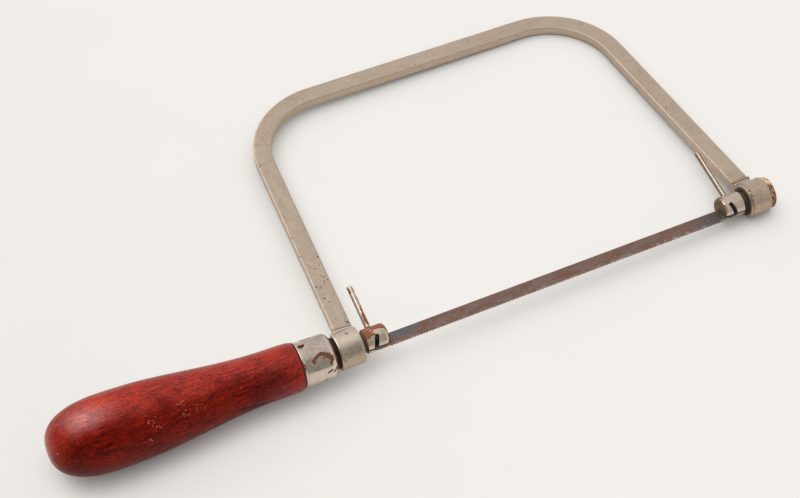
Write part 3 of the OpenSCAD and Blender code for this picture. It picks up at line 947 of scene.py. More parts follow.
# dark marks: x, degrees round, turn about Z, radii
GRIP_MARKS = [
    (-59.7, 127.5, 0.35, (1.5, 0.6, 0.8)), (-51.0, 141.6, 0, (1.3, 0.7, 0.8)),
    (-106.2, 134.8, 0, (1.0, 0.7, 0.8)), (-98.4, 156.2, 0, (3.2, 0.28, 0.5)),
    (-102.3, 153.5, 0, (2.4, 0.25, 0.5)), (-94.5, 159.5, 0, (2.6, 0.25, 0.5)),
    (-104.6, 157.0, 0, (1.8, 0.22, 0.5)), (-44.0, 184.0, 0, (7.5, 0.25, 0.5)),
    (-40.0, 189.0, 0, (6.0, 0.22, 0.5)), (-47.0, 178.5, 0, (6.5, 0.2, 0.5))]
# clusters of pale scuffs: x, degrees round, count, spread along x, spread in degrees
GRIP_SCUFFS = [
    (-84.2, 131, 7, 1.9, 5), (-83.0, 144, 7, 1.6, 5), (-71.8, 122, 5, 1.6, 5),
    (-70.6, 139, 8, 1.8, 6), (-64.4, 138, 8, 2.2, 6), (-47.1, 131.7, 2, 0.8, 3),
    (-86.3, 159, 3, 1.0, 3)]


def on_grip(x, degrees):
    """A point on the leaning grip's surface."""
    radius, angle = float(grip_radius(x)), math.radians(degrees)
    return tuple(leaned(np.array([[x, radius * math.cos(angle), radius * math.sin(angle)]]))[0])


def scuff_strokes():
    rng = np.random.RandomState(7)
    strokes = []
    for x, degrees, count, x_spread, turn_spread in GRIP_SCUFFS:
        for _ in range(count):
            at_x = x + rng.uniform(-x_spread, x_spread)
            at_degrees = degrees + rng.uniform(-turn_spread, turn_spread)
            strokes.append((on_grip(at_x, at_degrees), (0.0, 0.0, rng.uniform(-1.2, 1.2)),
                            (rng.uniform(0.30, 0.75), rng.uniform(0.08, 0.16), 0.35)))
    strokes.append((on_grip(-121.0, 137.3), (0, 0, 0.4), (0.5, 0.45, 0.6)))
    strokes.append((on_grip(-112.6, 68.5), (0, 0, 0.2), (0.8, 0.35, 0.5)))
    return strokes


def wood():
    mat = Material("red_varnished_wood")
    place = mat.place
    x, y, z = mat.xyz(place)
    # red stain over grain that runs along the turning axis
    long_grain = mat.noise(mat.warp(scale=0.05, amount=1.0, detail=2).scaled(0.16, 1.0, 1.0),
                           scale=0.9, detail=6, rough=0.62, twist=0.2)
    fine_grain = mat.noise(place.scaled(0.07, 1.0, 1.0), scale=2.6, detail=5, rough=0.6)
    blotch = mat.noise(scale=0.085, detail=4, rough=0.55)
    colour = mat.ramp((long_grain * 0.6 + fine_grain * 0.4).rise(0.28, 0.72), [
        (0.0, (0.085, 0.0050, 0.0026)), (0.35, (0.19, 0.0095, 0.0045)),
        (0.62, (0.31, 0.019, 0.0075)), (1.0, (0.46, 0.048, 0.015))])
    colour = mat.mix(blotch.rise(0.40, 0.68, to=(0.0, 0.5)), colour, (0.38, 0.032, 0.010))
    cloud = mat.noise(mat.vector("ADD", place, (71.0, 13.0, 5.0)), scale=0.06, detail=3)
    colour = mat.mix(cloud.rise(0.52, 0.75, to=(0.0, 0.6)), colour, (0.10, 0.010, 0.008))
    # painted shade darkens the -Y flank and painted light makes the +Y top brighter and redder;
    # the flank's varnish is also worn dull
    shaded_worn_flank = (y / GRIP_R + (blotch - 0.5) * 0.5).rise(0.02, -0.52)
    shaded_worn_flank = shaded_worn_flank * x.rise(-46.0, -27.0, to=(1.0, 0.42))
    colour = mat.tint(colour, mat.mix(shaded_worn_flank, (1.36, 0.98, 0.85), (0.72, 0.44, 0.36)))
    # the fine broken grain of a turned and stained hardwood
    coarse = mat.noise(mat.warp(scale=0.8, amount=0.3, detail=2).scaled(0.55, 1.5, 1.5),
                       scale=1.25, detail=6, rough=0.74)
    fine = mat.noise(place.scaled(0.8, 1.6, 1.6), scale=2.6, detail=4, rough=0.7)
    speckle = coarse * 0.6 + fine * 0.4
    colour = mat.tint(colour, mat.ramp(speckle.rise(0.36, 0.64), [
        (0.0, (0.26, 0.15, 0.15)), (0.36, (0.80, 0.70, 0.66)), (0.72, (1.18, 1.16, 1.0)),
        (1.0, (1.68, 2.2, 1.6))]))

    def axis_distance():
        return mat.vector("LENGTH", place.scaled(0.0, 1.0, 1.0))

    # painted shade darkens the +Y side and the underside; a painted highlight lightens a patch
    # near the butt, whose coat is also glossier
    far_side_shade = (y / axis_distance()).rise(0.48, 0.90)
    under = (z / axis_distance()).rise(0.30, -0.30)
    butt_highlight = mat.vector("DISTANCE", mat.warp(scale=0.12, amount=3.0).scaled(0.72, 1.0, 1.0),
                      (-104.5 * 0.72, 0.3, 15.0)).rise(10.5, 1.5)
    for mask, tone in ((far_side_shade, (0.62, 0.55, 0.55)), (under, (0.66, 0.55, 0.50)),
                       (butt_highlight, (1.62, 1.6, 1.5))):
        colour = mat.tint(colour, mat.mix(mask, (1.0, 1.0, 1.0), tone))
    # short dark pores along the grain, in two sizes
    stretched = mat.warp(scale=0.5, amount=0.35, detail=2).scaled(0.42, 2.4, 2.4)
    large = mat.cells(stretched, scale=0.85).rise(0.27, 0.12)
    large = large * mat.noise(place.scaled(0.35, 1.4, 1.4), scale=1.2,
                              detail=3).rise(0.42, 0.60)
    small = mat.cells(place.scaled(0.9, 4.2, 4.2), scale=0.9).rise(0.30, 0.14) * 0.7
    pores = large.at_least(small)
    colour = mat.mix(pores * 0.72, colour, (0.030, 0.006, 0.006))
    # pale scuffs and dark marks
    scuff = mat.strokes(scuff_strokes(), mat.warp(scale=1.2, amount=0.35)).rise(1.15, 0.6)
    colour = mat.mix(scuff * 0.75, colour, (0.62, 0.22, 0.13))
    marks = [(on_grip(at_x, degrees), (0, 0, turn), radii)
             for at_x, degrees, turn, radii in GRIP_MARKS]
    mark = mat.strokes(marks, mat.warp(scale=0.9, amount=0.25)).rise(1.25, 0.5)
    colour = mat.mix(mark * 0.8, colour, (0.025, 0.006, 0.006))
    # the shoulder by the ferrule is dark with old dirt
    shoulder = x.rise(GRIP_X1 - 1.3, GRIP_X1 - 0.35)
    colour = mat.mix(shoulder * 0.85, colour, (0.030, 0.012, 0.010))

    ripple = mat.noise(place.scaled(0.35, 1.0, 1.0), scale=2.2, detail=5, rough=0.65)
    mark_depth = 1.0
    height = ripple * 0.7 + long_grain * 0.5 - pores * 0.55 - mark * mark_depth
    coat_ripple = mat.noise(place.scaled(0.5, 1.0, 1.0), scale=1.6, detail=5, rough=0.65)
    # the varnish is thin on scuffs, the shoulder and the worn flank
    coat = mat.mixf(scuff, mat.mixf(shoulder * 0.8, 0.95, 0.1), 0.15)
    coat = coat * mat.mixf(shaded_worn_flank, mat.mixf(butt_highlight, y.rise(8.5, 3.0, to=(0.25, 0.72)), 1.0), 0.08)
    return mat.done(
        Base_Color=colour,
        Roughness=mat.noise(scale=0.4, detail=4).rise(0.3, 0.7, to=(0.30, 0.42)),
        Normal=mat.bump(height, strength=0.55, distance=0.09),
        Coat_Weight=coat,
        Coat_Roughness=mat.noise(scale=0.7, detail=5, rough=0.65).rise(
            0.3, 0.7, to=(0.15, 0.27)),
        Coat_IOR=mat.mixf(butt_highlight, 1.46, 1.80),
        Coat_Normal=mat.bump(coat_ripple + pores * -0.4 + speckle * 0.9,
                             strength=0.62, distance=0.10),
        Specular_IOR_Level=0.06)


def make_handle():
    # stations crowd towards the butt's pole
    shares = np.concatenate([BUTT_SHARE * np.linspace(0, 1, 90) ** 1.9,
                             np.linspace(BUTT_SHARE, 1.0, 330)[1:]])
    xs = (GRIP_X0 + GRIP_LENGTH * shares)[1:-2]
    end_r = float(grip_radius(GRIP_X1 - 0.3))
    profile = [(GRIP_X0, 0.0), *zip(xs, grip_radius(xs)),
               (GRIP_X1 - 0.45, end_r), (GRIP_X1 - 0.28, end_r - 0.04),
               (GRIP_X1 - 0.12, end_r - 0.14), (GRIP_X1 - 0.02, end_r - 0.32), (GRIP_X1, 8.8)]
    outer_rings = len(profile)
    # the part inside the ferrule and the bore down the handle
    profile += [(GRIP_X1, 8.33), (-16.0, 8.33), (-10.42, 8.33), (-8.64, 7.02), (-8.6, 6.55),
                (-13.99, 6.55), (-13.99, 3.62), (-30.0, 3.62), (-45.9, 3.62), (-46.0, 0.0)]

    def shape(v):
        points, x = v.points, v.x
        fade = (smoothstep(GRIP_X0 + 0.5, GRIP_X0 + 8, x)
                * (1 - smoothstep(GRIP_X1 - 3, GRIP_X1, x) * 0.8))
        along_grain = points * np.array([0.35, 1, 1])
        wave = 0.10 * fbm(points, 0.045, 41, 3) + 0.022 * fbm(along_grain, 0.35, 47, 3)
        flat = np.c_[x, v.angle * np.maximum(v.radius, 8)]
        dents = dent_depth(flat, lambda at: float(grip_radius(at)), GRIP_DENTS)
        move = (wave * fade - dents) * (v.ring < outer_rings)
        points = points + v.outward * move[:, None]
        # only the outside and the ferrule seat lean; the bore stays on the axis
        leaning = (v.ring < outer_rings + 5).astype(float)
        return points + (leaned(points) - points) * leaning[:, None]

    handle = lathe("wood_handle", profile, 300, shape=shape)
    finish_piece(handle, "handle_group", wood(), "handle", sharp=50)


make_handle()

# ------------------------------------------------------------------ ferrule
# x, degrees round, half length, half width, depth (negative stands proud)
FERRULE_DENTS = [
    (BRAD_X + 0.15, BRAD_ANGLE, 1.5, 1.3, 0.42), (-13.7, 194.7, 0.9, 0.8, -0.16),
    (-12.6, 196.5, 0.7, 0.9, 0.12), (-15.5, 206, 2.5, 2.0, 0.10),
    (FERRULE_X0 + 0.3, 131.0, 0.6, 0.7, 0.10), (-11.2, 112.0, 1.0, 2.6, 0.05)]
# two cuts: start and end (x, degrees round), width, depth, width of rust
FERRULE_CUTS = [((-12.2, 169.3), (-10.7, 164.8), 0.28, 0.16, 0.46),
                ((-9.7, 172.5), (-8.4, 163.6), 0.30, 0.18, 0.48)]
# a winding line of rust: x, degrees round, half width
FERRULE_RUST_LINE = [
    (-17.2, 126.0, 0.30), (-16.9, 131.5, 0.42), (-15.9, 122.5, 0.42), (-14.4, 117.2, 0.50),
    (-13.2, 115.6, 0.62), (-12.0, 119.0, 0.62), (-10.9, 124.0, 0.72), (-9.9, 131.0, 0.72),
    (-9.75, 138.5, 0.66), (-10.5, 146.5, 0.42)]
# rust patches by softness of rim: x, degrees round, half length, half width, strength
FERRULE_RUST = {
    0.5: [(-11.8, 127.5, 1.6, 1.0, 0.55), (-16.4, 52.0, 2.6, 0.55, 0.75)],
    0.3: [(BRAD_X + 0.1, BRAD_ANGLE - 1, 1.45, 1.05, 1.0)],
    0.4: [(-13.7, 196.0, 1.0, 0.7, 1.0), (-15.0, 240.0, 3.5, 3.0, 0.62),
          (-12.0, 330.0, 3.0, 3.5, 0.66)]}


def on_ferrule(x, degrees):
    return x, math.radians(degrees) * FERRULE_R


def ferrule_profile():
    x0, x1, r, wall = FERRULE_X0, FERRULE_X1, FERRULE_R, FERRULE_WALL
    nose = 3.2
    outer = [(x0, r - wall + 0.15), (x0, r - 0.10), (x0 + 0.05, r + 0.04),
             (x0 + 0.15, r + 0.11), (x0 + 0.35, r + 0.14), (x0 + 0.58, r + 0.11),
             (x0 + 0.78, r + 0.03), (x0 + 0.95, r - 0.03), (x0 + 1.15, r - 0.01),
             (x0 + 1.35, r)]
    hole = [(x1, 4.2), (x1 - 0.12, 3.85), (x1 - 0.4, 3.72), (x1 - 0.8, 3.75), (x1 - 1.0, 3.95)]
    full = dense(outer + profile_arc(x1 - nose, r - nose, nose, 0, 90, 26) + hole
                 + profile_arc(x1 - nose, r - nose, nose - 1.0, 90, 45, 6)
                 + [(x1 - nose, r - wall)], 0.16, closed=True)
    # thin the points out along the bore
    kept = []
    for p in full:
        inside = p[1] < r - wall + 0.05 and x0 + 0.2 < p[0] < x1 - nose
        if not (inside and kept and abs(p[0] - kept[-1][0]) < 1.2):
            kept.append(p)
    return np.array(kept)


def ferrule_shape(v):
    points, x, angle = v.points, v.x, v.angle
    skin = smoothstep(BORE_R + 0.25, FERRULE_R - 0.2, v.radius) * (x < FERRULE_X1 - 0.4)
    flat = np.c_[x, angle * FERRULE_R]
    move = 0.035 * fbm(points, 0.16, 61, 3) + 0.012 * fbm(points, 0.7, 67, 3)
    move -= dent_depth(flat, lambda at: FERRULE_R, FERRULE_DENTS)
    for start, end, width, depth, _ in FERRULE_CUTS:
        distance, _ = segment_distance(flat, on_ferrule(*start), on_ferrule(*end))
        move -= depth * bell(distance, 0, width)
    # the wood end is a little out of true
    move += 0.05 * np.sin(angle * 3 + 0.6) * bell(x, FERRULE_X0, 1.2)
    moved = points + v.outward * (move * skin)[:, None]
    moved[:, 0] += 0.06 * np.sin(angle * 2 + 1.0) * skin * bell(x, FERRULE_X0, 0.8)
    return moved


def ferrule_rust(points):
    x = points[:, 0]
    degrees = np.degrees(np.arctan2(points[:, 2], points[:, 1])) % 360
    flat = np.c_[x, np.radians(degrees) * FERRULE_R]
    jitter = np.c_[fbm(points, 1.2, 71), fbm(points, 1.2, 77)] * 0.58
    ragged = flat + jitter
    rust = np.zeros(len(points))
    for (xa, da, wa), (xb, db, wb) in zip(FERRULE_RUST_LINE[:-1], FERRULE_RUST_LINE[1:]):
        distance, t = segment_distance(ragged, on_ferrule(xa, da), on_ferrule(xb, db))
        width = (wa + (wb - wa) * t) * 1.32
        rust = np.maximum(rust, 1 - smoothstep(0.75, 1.25, distance / width))
    for start, end, _, _, width in FERRULE_CUTS:
        distance, _ = segment_distance(flat + jitter * 0.3, on_ferrule(*start),
                                       on_ferrule(*end))
        rust = np.maximum(rust, 1 - smoothstep(0.7, 1.3, distance / width))
    for soft, rows in FERRULE_RUST.items():
        rust = np.maximum(rust, patches(ragged, FERRULE_R, rows, soft))
    # the lip at the wood end, and the front face
    lip = bell(x, FERRULE_X0 + 0.4, 0.55)
    rust = np.maximum(rust, lip * (1 - smoothstep(6.0, 10.0, np.abs(degrees - 134.5))))
    rust = np.maximum(rust, lip * (0.33 + 0.5 * fbm(points, 0.35, 83, 3)))
    face = 0.42 + 0.25 * fbm(points, 0.5, 87, 3)
    return np.maximum(rust, np.where(x > FERRULE_X1 - 0.35, face, 0))


def make_ferrule():
    ferrule = lathe("ferrule_cup", ferrule_profile(), 384, closed=True, shape=ferrule_shape)

    def ragged(v):
        edge = 1 + 0.14 * np.sin(3 * v.angle + 0.7) + 0.09 * np.sin(5 * v.angle + 2.1)
        return v.points * np.c_[np.ones(len(edge)), edge, edge]

    origin, direction = np.array([BRAD_X, 0, 0]), lever_direction(BRAD_ANGLE)
    boolean(ferrule, rod("brad_hole", origin, direction,
                         [(6.0, 0.0), (6.0, 1.0), (12.0, 1.0), (12.0, 0.0)], 48, ragged,
                         stretch=(1.15, 0.86)))
    points = get_points(ferrule)
    bore = np.hypot(points[:, 1], points[:, 2]) < BORE_R + 0.2
    set_mask(ferrule, "rust", np.where(bore, 0.8, ferrule_rust(points)))
    set_mask(ferrule, "dirt_and_shade", bell(points[:, 0], FERRULE_X0 + 0.98, 0.16) * 0.62 + 0.9 * bore)
    set_points(ferrule, leaned(points))
    material = nickel(
        "ferrule_nickel", (0.63, 0.53, 0.45), (0.73, 0.645, 0.565), roughness=(0.17, 0.26),
        stain=0.35, speck=0.34, bump=0.8,
        rust=[(0.0, (0.045, 0.014, 0.008)), (0.30, (0.12, 0.040, 0.021)),
              (0.55, (0.22, 0.080, 0.040)), (0.82, (0.33, 0.142, 0.078)),
              (1.0, (0.44, 0.235, 0.145))])
    finish_piece(ferrule, "handle_group", material, "ferrule", sharp=40)

    def battered(v):
        push = np.c_[0.03 * fbm(v.points, 2.0, 91, 2), 0.02 * fbm(v.points, 2.5, 93, 2),
                     0.02 * fbm(v.points, 2.5, 95, 2)]
        return v.points + push * (v.x > 8.3)[:, None]

    brad = rod("ferrule_brad_nail", origin, direction,
               [(5.85, 0.0), (5.87, 0.42), (6.0, 0.48), (8.36, 0.5), (8.40, 0.84), (8.46, 0.9),
                (8.62, 0.9), (8.76, 0.80), (8.84, 0.55), (8.88, 0.0)], 40, battered)
    set_points(brad, leaned(get_points(brad)))
    material = rusty("brad_rust", [(0, (0.018, 0.009, 0.006)), (0.5, (0.055, 0.022, 0.013)),
                                   (1, (0.15, 0.06, 0.03))])
    finish_piece(brad, "handle_group", material, "ferrule_brad")


make_ferrule()


# ------------------------------------------------------------------ thrust washer
def make_thrust_washer():
    x0, x1, outer, inner = thrust_low[0], thrust_high[0], 6.4, 3.5
    profile = dense([
        (x0, inner + 0.12), (x0, outer - 0.3), (x0 + 0.08, outer - 0.1), (x0 + 0.28, outer),
        (x1 - 0.28, outer), (x1 - 0.08, outer - 0.1), (x1, outer - 0.3), (x1, inner + 0.12),
        (x1 - 0.12, inner), (x0 + 0.12, inner)], 0.35, closed=True)
    washer = lathe("thrust_washer_ring", profile, 144, closed=True,
                   shape=worn_ring(101, 0.12, outer - 0.5))
    # the washer is near-black: dark rust, and painted shade for the narrow gap it sits in
    material = rusty("washer_rust_and_shade", [(0, (0.010, 0.006, 0.005)),
                                          (0.5, (0.035, 0.018, 0.012)),
                                          (1, (0.12, 0.058, 0.030))], dark=0.05)
    finish_piece(washer, "handle_group", material, "thrust_washer")


make_thrust_washer()


# ------------------------------------------------------------------ blade holders
def cut_slots(ob, pin, side, x0, x1):
    """The blade slot and the slanted pin slot; side is -1 for the rear holder, 1 for front."""
    before, after = (2, 0.6) if side > 0 else (0.6, 2)
    # the blade slot runs out through the head's end
    y1 = 0.6
    boolean(ob, box("blade_slot", (x0 - before, -8, -SLOT_HALF), (x1 + after, y1, SLOT_HALF)))
    boolean(ob, box("pin_slot", (-PIN_SLOT_HALF, -9, -8), (PIN_SLOT_HALF, 0.8, 8),
                    turn=side * PIN_SLOT_LEAN, at=(pin[0], pin[1], 0)))


def cut_lever_hole(ob, x, direction):
    boolean(ob, rod("lever_hole", np.array([x, 0, 0]), direction,
                    [(1.6, 0), (1.6, 1.26), (9.0, 1.26), (9.0, 0)], 36))


def in_slot(points, radius, pin, side):
    """True on the walls of the blade slot and the slanted pin slot."""
    margin = 0.12
    lean = side * PIN_SLOT_LEAN
    x, y = points[:, 0] - pin[0], points[:, 1] - pin[1]
    across = x * math.cos(lean) + y * math.sin(lean)
    along = -x * math.sin(lean) + y * math.cos(lean)
    pin_slot = (np.abs(across) < PIN_SLOT_HALF + margin) & (along < 0.8 + margin)
    blade_slot = (np.abs(points[:, 2]) < SLOT_HALF + margin) & (points[:, 1] < 0.6 + margin)
    return (pin_slot | blade_slot) & (radius < 4.90)


def make_spigot():
    """The rear holder's threaded end."""
    x0, x1, pitch, major, root = rear_low[0], -4.2, 1.27, 3.175, 2.62
    xs = np.concatenate([np.linspace(x0 + 0.02, x0 + 0.5, 4), np.linspace(x0 + 0.58, x1, 300)])

    def shape(v):
        turn = ((v.x - x0) / pitch - v.angle / (2 * np.pi)) % 1.0
        crest = np.interp(turn, [0, 0.12, 0.36, 0.56, 0.80, 1.0], [0, 0.02, 1, 1, 0.02, 0])
        fade = (smoothstep(x0 + 0.3, x0 + 1.2, v.x)
                * (1 - smoothstep(x1 - 1.6, x1 - 0.9, v.x)))
        radius = root + (major - root) * crest * fade
        start = 0.80 + 0.20 * np.clip((v.x - x0) / 0.5, 0, 1)
        radius = radius * np.where(v.x < x0 + 0.5, start, 1.0)
        scale = np.where(v.radius > 0, radius, 0)
        return v.points * np.c_[np.ones(len(scale)), scale, scale]

    # turned at radius 1, so the shape scales it to the thread's radius
    return lathe("spigot", [(x0, 0.0)] + [(x, 1.0) for x in xs] + [(x1, 0.0)], 60, shape=shape)


def rear_holder_rust(points, radius, degrees):
    x = points[:, 0]
    slow, quick = fbm(points, 0.45, 111) * 20, fbm(points, 1.1, 117) * 12
    # rust up to a limit angle that changes along the head
    limit = np.where(x < 10.6, 117.0 - 3 * (x - 8.5), 90.0 + 2.2 * (x - 13.5))
    limit = np.where(x > 14.6, limit + 26 * smoothstep(14.6, 15.9, x), limit)
    mask = 1 - smoothstep(-7, 7, degrees - limit + slow * 0.55 + quick * 0.8)
    # islands of plate; rows: x, degrees round, half length, half width, strength
    flat = np.c_[x, np.radians(degrees) * HEAD_R]
    plate = np.maximum(
        patches(flat + np.c_[quick, slow] * 0.02, HEAD_R, [
            (9.6, 83, 0.55, 0.5, 1.0), (11.6, 88, 0.45, 0.6, 1.0),
            (10.3, 96, 0.35, 0.5, 1.0)], 0.5),
        patches(flat, HEAD_R, [(9.2, 63, 0.8, 0.45, 1.0), (8.3, 70, 0.5, 0.3, 1.0)], 0.5))
    mask = mask * (1 - plate * 0.8)
    # underneath the plating holds in patches
    under = smoothstep(190, 230, degrees)
    patchy = np.clip(0.5 + 1.1 * fbm(points, 0.3, 121), 0, 1)
    mask = np.maximum(mask * (1 - under), under * patchy)
    mask = np.maximum(mask, 0.75 * bell(x, 6.55, 0.22) * (radius > 4.2))
    mask = np.maximum(mask, 0.85 * (radius < 3.9) * (x > 6.3))
    return np.where(x < 6.35, 0.30 + 0.5 * fbm(points, 0.3, 125, 3), mask)


def make_rear_holder():
    x0, x1 = 6.5, rear_high[0]
    profile = [(-4.7, 0), (-4.7, NECK_R - 0.3), (-4.4, NECK_R), (x0, NECK_R),
               (x0, HEAD_R - 0.3), (x0 + 0.3, HEAD_R)]
    profile += profile_arc(x1 - HEAD_ROUND, HEAD_R - HEAD_ROUND, HEAD_ROUND, 0, 90, 14)
    rear = lathe("rear_blade_holder", dense(profile + [(x1, 0)], 0.6), 120)
    cut_slots(rear, REAR_PIN, -1, x0, x1)
    cut_lever_hole(rear, REAR_LEVER_X, REAR_DIRECTION)
    voxel(rear, 0.085)
    boolean(rear, make_spigot(), "UNION")

    points, normals = get_points(rear), get_normals(rear)
    radius, degrees = polar(points)
    x = points[:, 0]
    rust = rear_holder_rust(points, radius, degrees)
    set_mask(rear, "rust", rust)
    # painted shade with grime: the slot walls, the bore end and the neck between the head and the
    # eye are darkened
    slot = ((radius < 4.4) & (x > 6.8)) | (in_slot(points, radius, REAR_PIN, -1) & (x > 6.4))
    set_mask(rear, "dirt_and_shade", slot * 0.9 + (x < 6.45) * 0.9 * (x > -4.6))
    # the rust stands proud of the head
    crust = np.clip(0.04 + 0.05 * fbm(points, 1.3, 131, 3), -0.02, 0.10) * (x > 6.3)
    set_points(rear, points + normals * (rust * crust)[:, None])
    material = nickel("rusted_nickel", (0.53, 0.425, 0.335), (0.74, 0.64, 0.54),
                      roughness=(0.26, 0.40), stain=0.6, speck=0.5, bump=1.4)
    finish_piece(rear, "rear_chuck", material, "rear_holder", sharp=50)


def make_front_holder():
    """Head, neck, tenon and its peened end."""
    x0, x1 = front_low[0], 179.3
    tenon, end = end_washer_low[0] - 0.03, end_washer_high[0]
    profile = [(x0, 0)]
    profile += profile_arc(x0 + HEAD_ROUND, HEAD_R - HEAD_ROUND, HEAD_ROUND, -90, 0, 14)
    profile += [(x1 - 0.3, HEAD_R), (x1, HEAD_R - 0.3), (x1, NECK_R), (tenon, NECK_R),
                (tenon, 2.6), (end + 0.03, 2.6), (end + 0.03, 3.6), (end + 0.18, 3.72),
                (end + 0.42, 3.55), (end + 0.72, 2.9), (end + 0.90, 1.7), (end + 0.96, 0)]

    def peen(v):
        push = np.c_[0.06 * fbm(v.points, 0.5, 141, 3) - 0.03,
                     0.06 * fbm(v.points, 0.7, 143, 3), 0.06 * fbm(v.points, 0.7, 145, 3)]
        return v.points + push * (v.x > end + 0.05)[:, None]

    front = lathe("front_blade_holder", dense(profile, 0.6), 120, shape=peen)
    cut_slots(front, FRONT_PIN, 1, x0, x1)
    cut_lever_hole(front, FRONT_LEVER_X, FRONT_DIRECTION)
    voxel(front, 0.09)

    points, normals = get_points(front), get_normals(front)
    radius, degrees = polar(points)
    x = points[:, 0]
    # rust on the head's rear end, in a band round its +Y side, then a thin patchy cover
    rust = (1 - smoothstep(0.4, 2.2, x - x0 + 0.9 * fbm(points, 0.8, 151))) * 0.75
    band = 0.62 * (1 - smoothstep(0.5, 1.5, np.abs(x - 170.8)))
    rust = np.maximum(rust, band * (1 - smoothstep(60, 110, degrees)))
    rust = np.where((radius < 4.3) & (x > 178.4) & (x < 181.5), 0.0, rust)
    rust = np.maximum(rust, (0.05 + 0.45 * fbm(points, 0.35, 153)) * (radius > 4.3))
    under = smoothstep(200, 240, degrees)
    rust = np.maximum(rust, under * np.clip(0.30 + 0.9 * fbm(points, 0.3, 157), 0, 1))
    set_mask(front, "rust", np.where(x > end - 0.1, 0.8, rust))
    # painted shade with grime: the slot walls and the neck between the head and the eye are
    # darkened
    slot = ((radius < 4.4) | in_slot(points, radius, FRONT_PIN, 1)) & (x < 179.2)
    set_mask(front, "dirt_and_shade", slot * 1.0 + ((x > 179.25) & (x < end_washer_low[0] - 0.1)) * 0.9)
    set_points(front, points + normals * (0.02 * fbm(points, 1.2, 161, 3))[:, None])
    material = nickel("front_holder_nickel", (0.60, 0.49, 0.39), (0.70, 0.60, 0.50),
                      roughness=(0.24, 0.38), stain=0.5, speck=0.62, bump=1.5,
                      rust=[(0.0, (0.05, 0.028, 0.014)), (0.5, (0.17, 0.095, 0.045)),
                            (1.0, (0.36, 0.23, 0.12))])
    finish_piece(front, "front_chuck", material, "front_holder", sharp=60)


make_rear_holder()
make_front_holder()


# ------------------------------------------------------------------ levers
def make_lever(name, x, direction, reach, seed, bend, tip_r):
    """A slightly bent pin with a rounded tip.

    Returns it with its points, their distance along it and their degrees round it, where 0
    faces +X and 90 faces up.
    """
    base, tip, r = 1.66, reach - 0.02, LEVER_R
    profile = [(base, 0), (base, r - 0.15), (base + 0.15, r)]
    profile += [(t, r) for t in np.linspace(base + 0.4, tip - 0.6, 90)] + [(tip - tip_r, r)]
    profile += profile_arc(tip - tip_r, r - tip_r, tip_r, 15, 90, 6)
    profile += [(tip, 0.5), (tip, 0)]

    def shape(v):
        wave = 0.02 * fbm(v.points, 0.6, seed, 3) * (v.radius > 0)
        moved = v.points + v.outward * wave[:, None]
        share = np.clip((v.x - 6) / (reach - 6), 0, 1)
        moved[:, 1] += bend[0] * share * share
        moved[:, 2] += bend[1] * share * share
        return moved

    root = np.array([x, 0, 0])
    lever = rod(name, root, direction, profile, 64, shape)
    points = get_points(lever)
    along = (points - root) @ direction
    off = points - root - along[:, None] * direction
    side = np.cross(direction, np.array([1.0, 0, 0]))
    side = side if side[2] > 0 else -side
    return lever, points, along, np.degrees(np.arctan2(off @ side, off[:, 0]))


# distance along, degrees round, half length, half width, strength
REAR_LEVER_RUST = [
    (8.4, 62, 1.8, 1.15, 1.0), (10.2, 75, 1.5, 0.8, 0.9), (12.6, 70, 1.2, 0.6, 0.95),
    (14.0, 45, 1.3, 0.5, 0.8), (16.2, 40, 1.2, 0.45, 0.75), (18.3, 45, 0.9, 0.45, 0.9),
    (21.7, 42, 1.1, 0.5, 1.0), (21.6, 135, 0.9, 0.55, 1.0), (23.2, 150, 0.6, 0.4, 0.7),
    (7.0, 100, 0.6, 0.6, 0.5), (6.2, 40, 0.8, 1.0, 0.8)]


def make_rear_lever():
    lever, points, along, degrees = make_lever(
        "rear_turning_lever", REAR_LEVER_X, REAR_DIRECTION, REAR_REACH, seed=171,
        bend=(-0.08, 0.0), tip_r=0.32)
    jitter = np.c_[fbm(points, 0.7, 173), fbm(points, 0.9, 177)] * np.array([0.9, 0.35])
    flat = np.c_[along, np.radians(degrees) * LEVER_R] + jitter
    # patches, then the -X side, then the underside
    rust = patches(flat, LEVER_R, REAR_LEVER_RUST, 0.35)
    minus_x = 0.72 * (1 - smoothstep(15, 50, np.abs(degrees - 178))) * (degrees > 0)
    rust = np.maximum(rust, minus_x)
    rust = np.maximum(rust, 0.70 * (1 - smoothstep(10, 60, np.abs(degrees + 150))))
    under = 0.42 + 0.5 * fbm(points, 0.4, 181)
    set_mask(lever, "rust", np.maximum(rust, np.where(degrees < -10, under, 0)))
    set_mask(lever, "dirt_and_shade", np.where(along < 5.2, 0.8, 0.0))
    material = nickel("rear_lever_nickel", (0.55, 0.46, 0.38), (0.68, 0.59, 0.50),
                      roughness=(0.28, 0.40), stain=0.3, speck=0.35)
    finish_piece(lever, "rear_chuck", material, "rear_lever", sharp=50)


def make_front_lever():
    lever, points, along, degrees = make_lever(
        "front_turning_lever", FRONT_LEVER_X, FRONT_DIRECTION, FRONT_REACH, seed=191,
        bend=(0.05, 0.05), tip_r=0.3)
    # painted dark reflections: the -X side and a streak along the top take the dark rust colours;
    # then a thin rust underneath
    full = np.where(degrees < -90, degrees + 360, degrees)
    rust = 0.85 * smoothstep(148, 168, full) * (1 - smoothstep(225, 250, full))
    streak = (0.58 + 0.35 * fbm(points, 0.55, 197)) * bell(degrees, 80, 15.0)
    under = 0.25 + 0.3 * fbm(points, 0.4, 195)
    set_mask(lever, "rust", np.maximum.reduce([rust, streak, np.where(degrees < 0, under, 0.06)]))
    set_mask(lever, "dirt_and_shade", np.where(along < 5.3, 0.8, 0.0))
    material = nickel("front_lever_nickel", (0.40, 0.315, 0.25), (0.50, 0.415, 0.34),
                      roughness=(0.12, 0.19), stain=0.4, speck=0.3, bump=0.5,
                      rust=[(0.0, (0.035, 0.020, 0.013)), (0.5, (0.12, 0.072, 0.045)),
                            (1.0, (0.26, 0.17, 0.11))])
    finish_piece(lever, "front_chuck", material, "front_lever", sharp=50)


make_rear_lever()
make_front_lever()


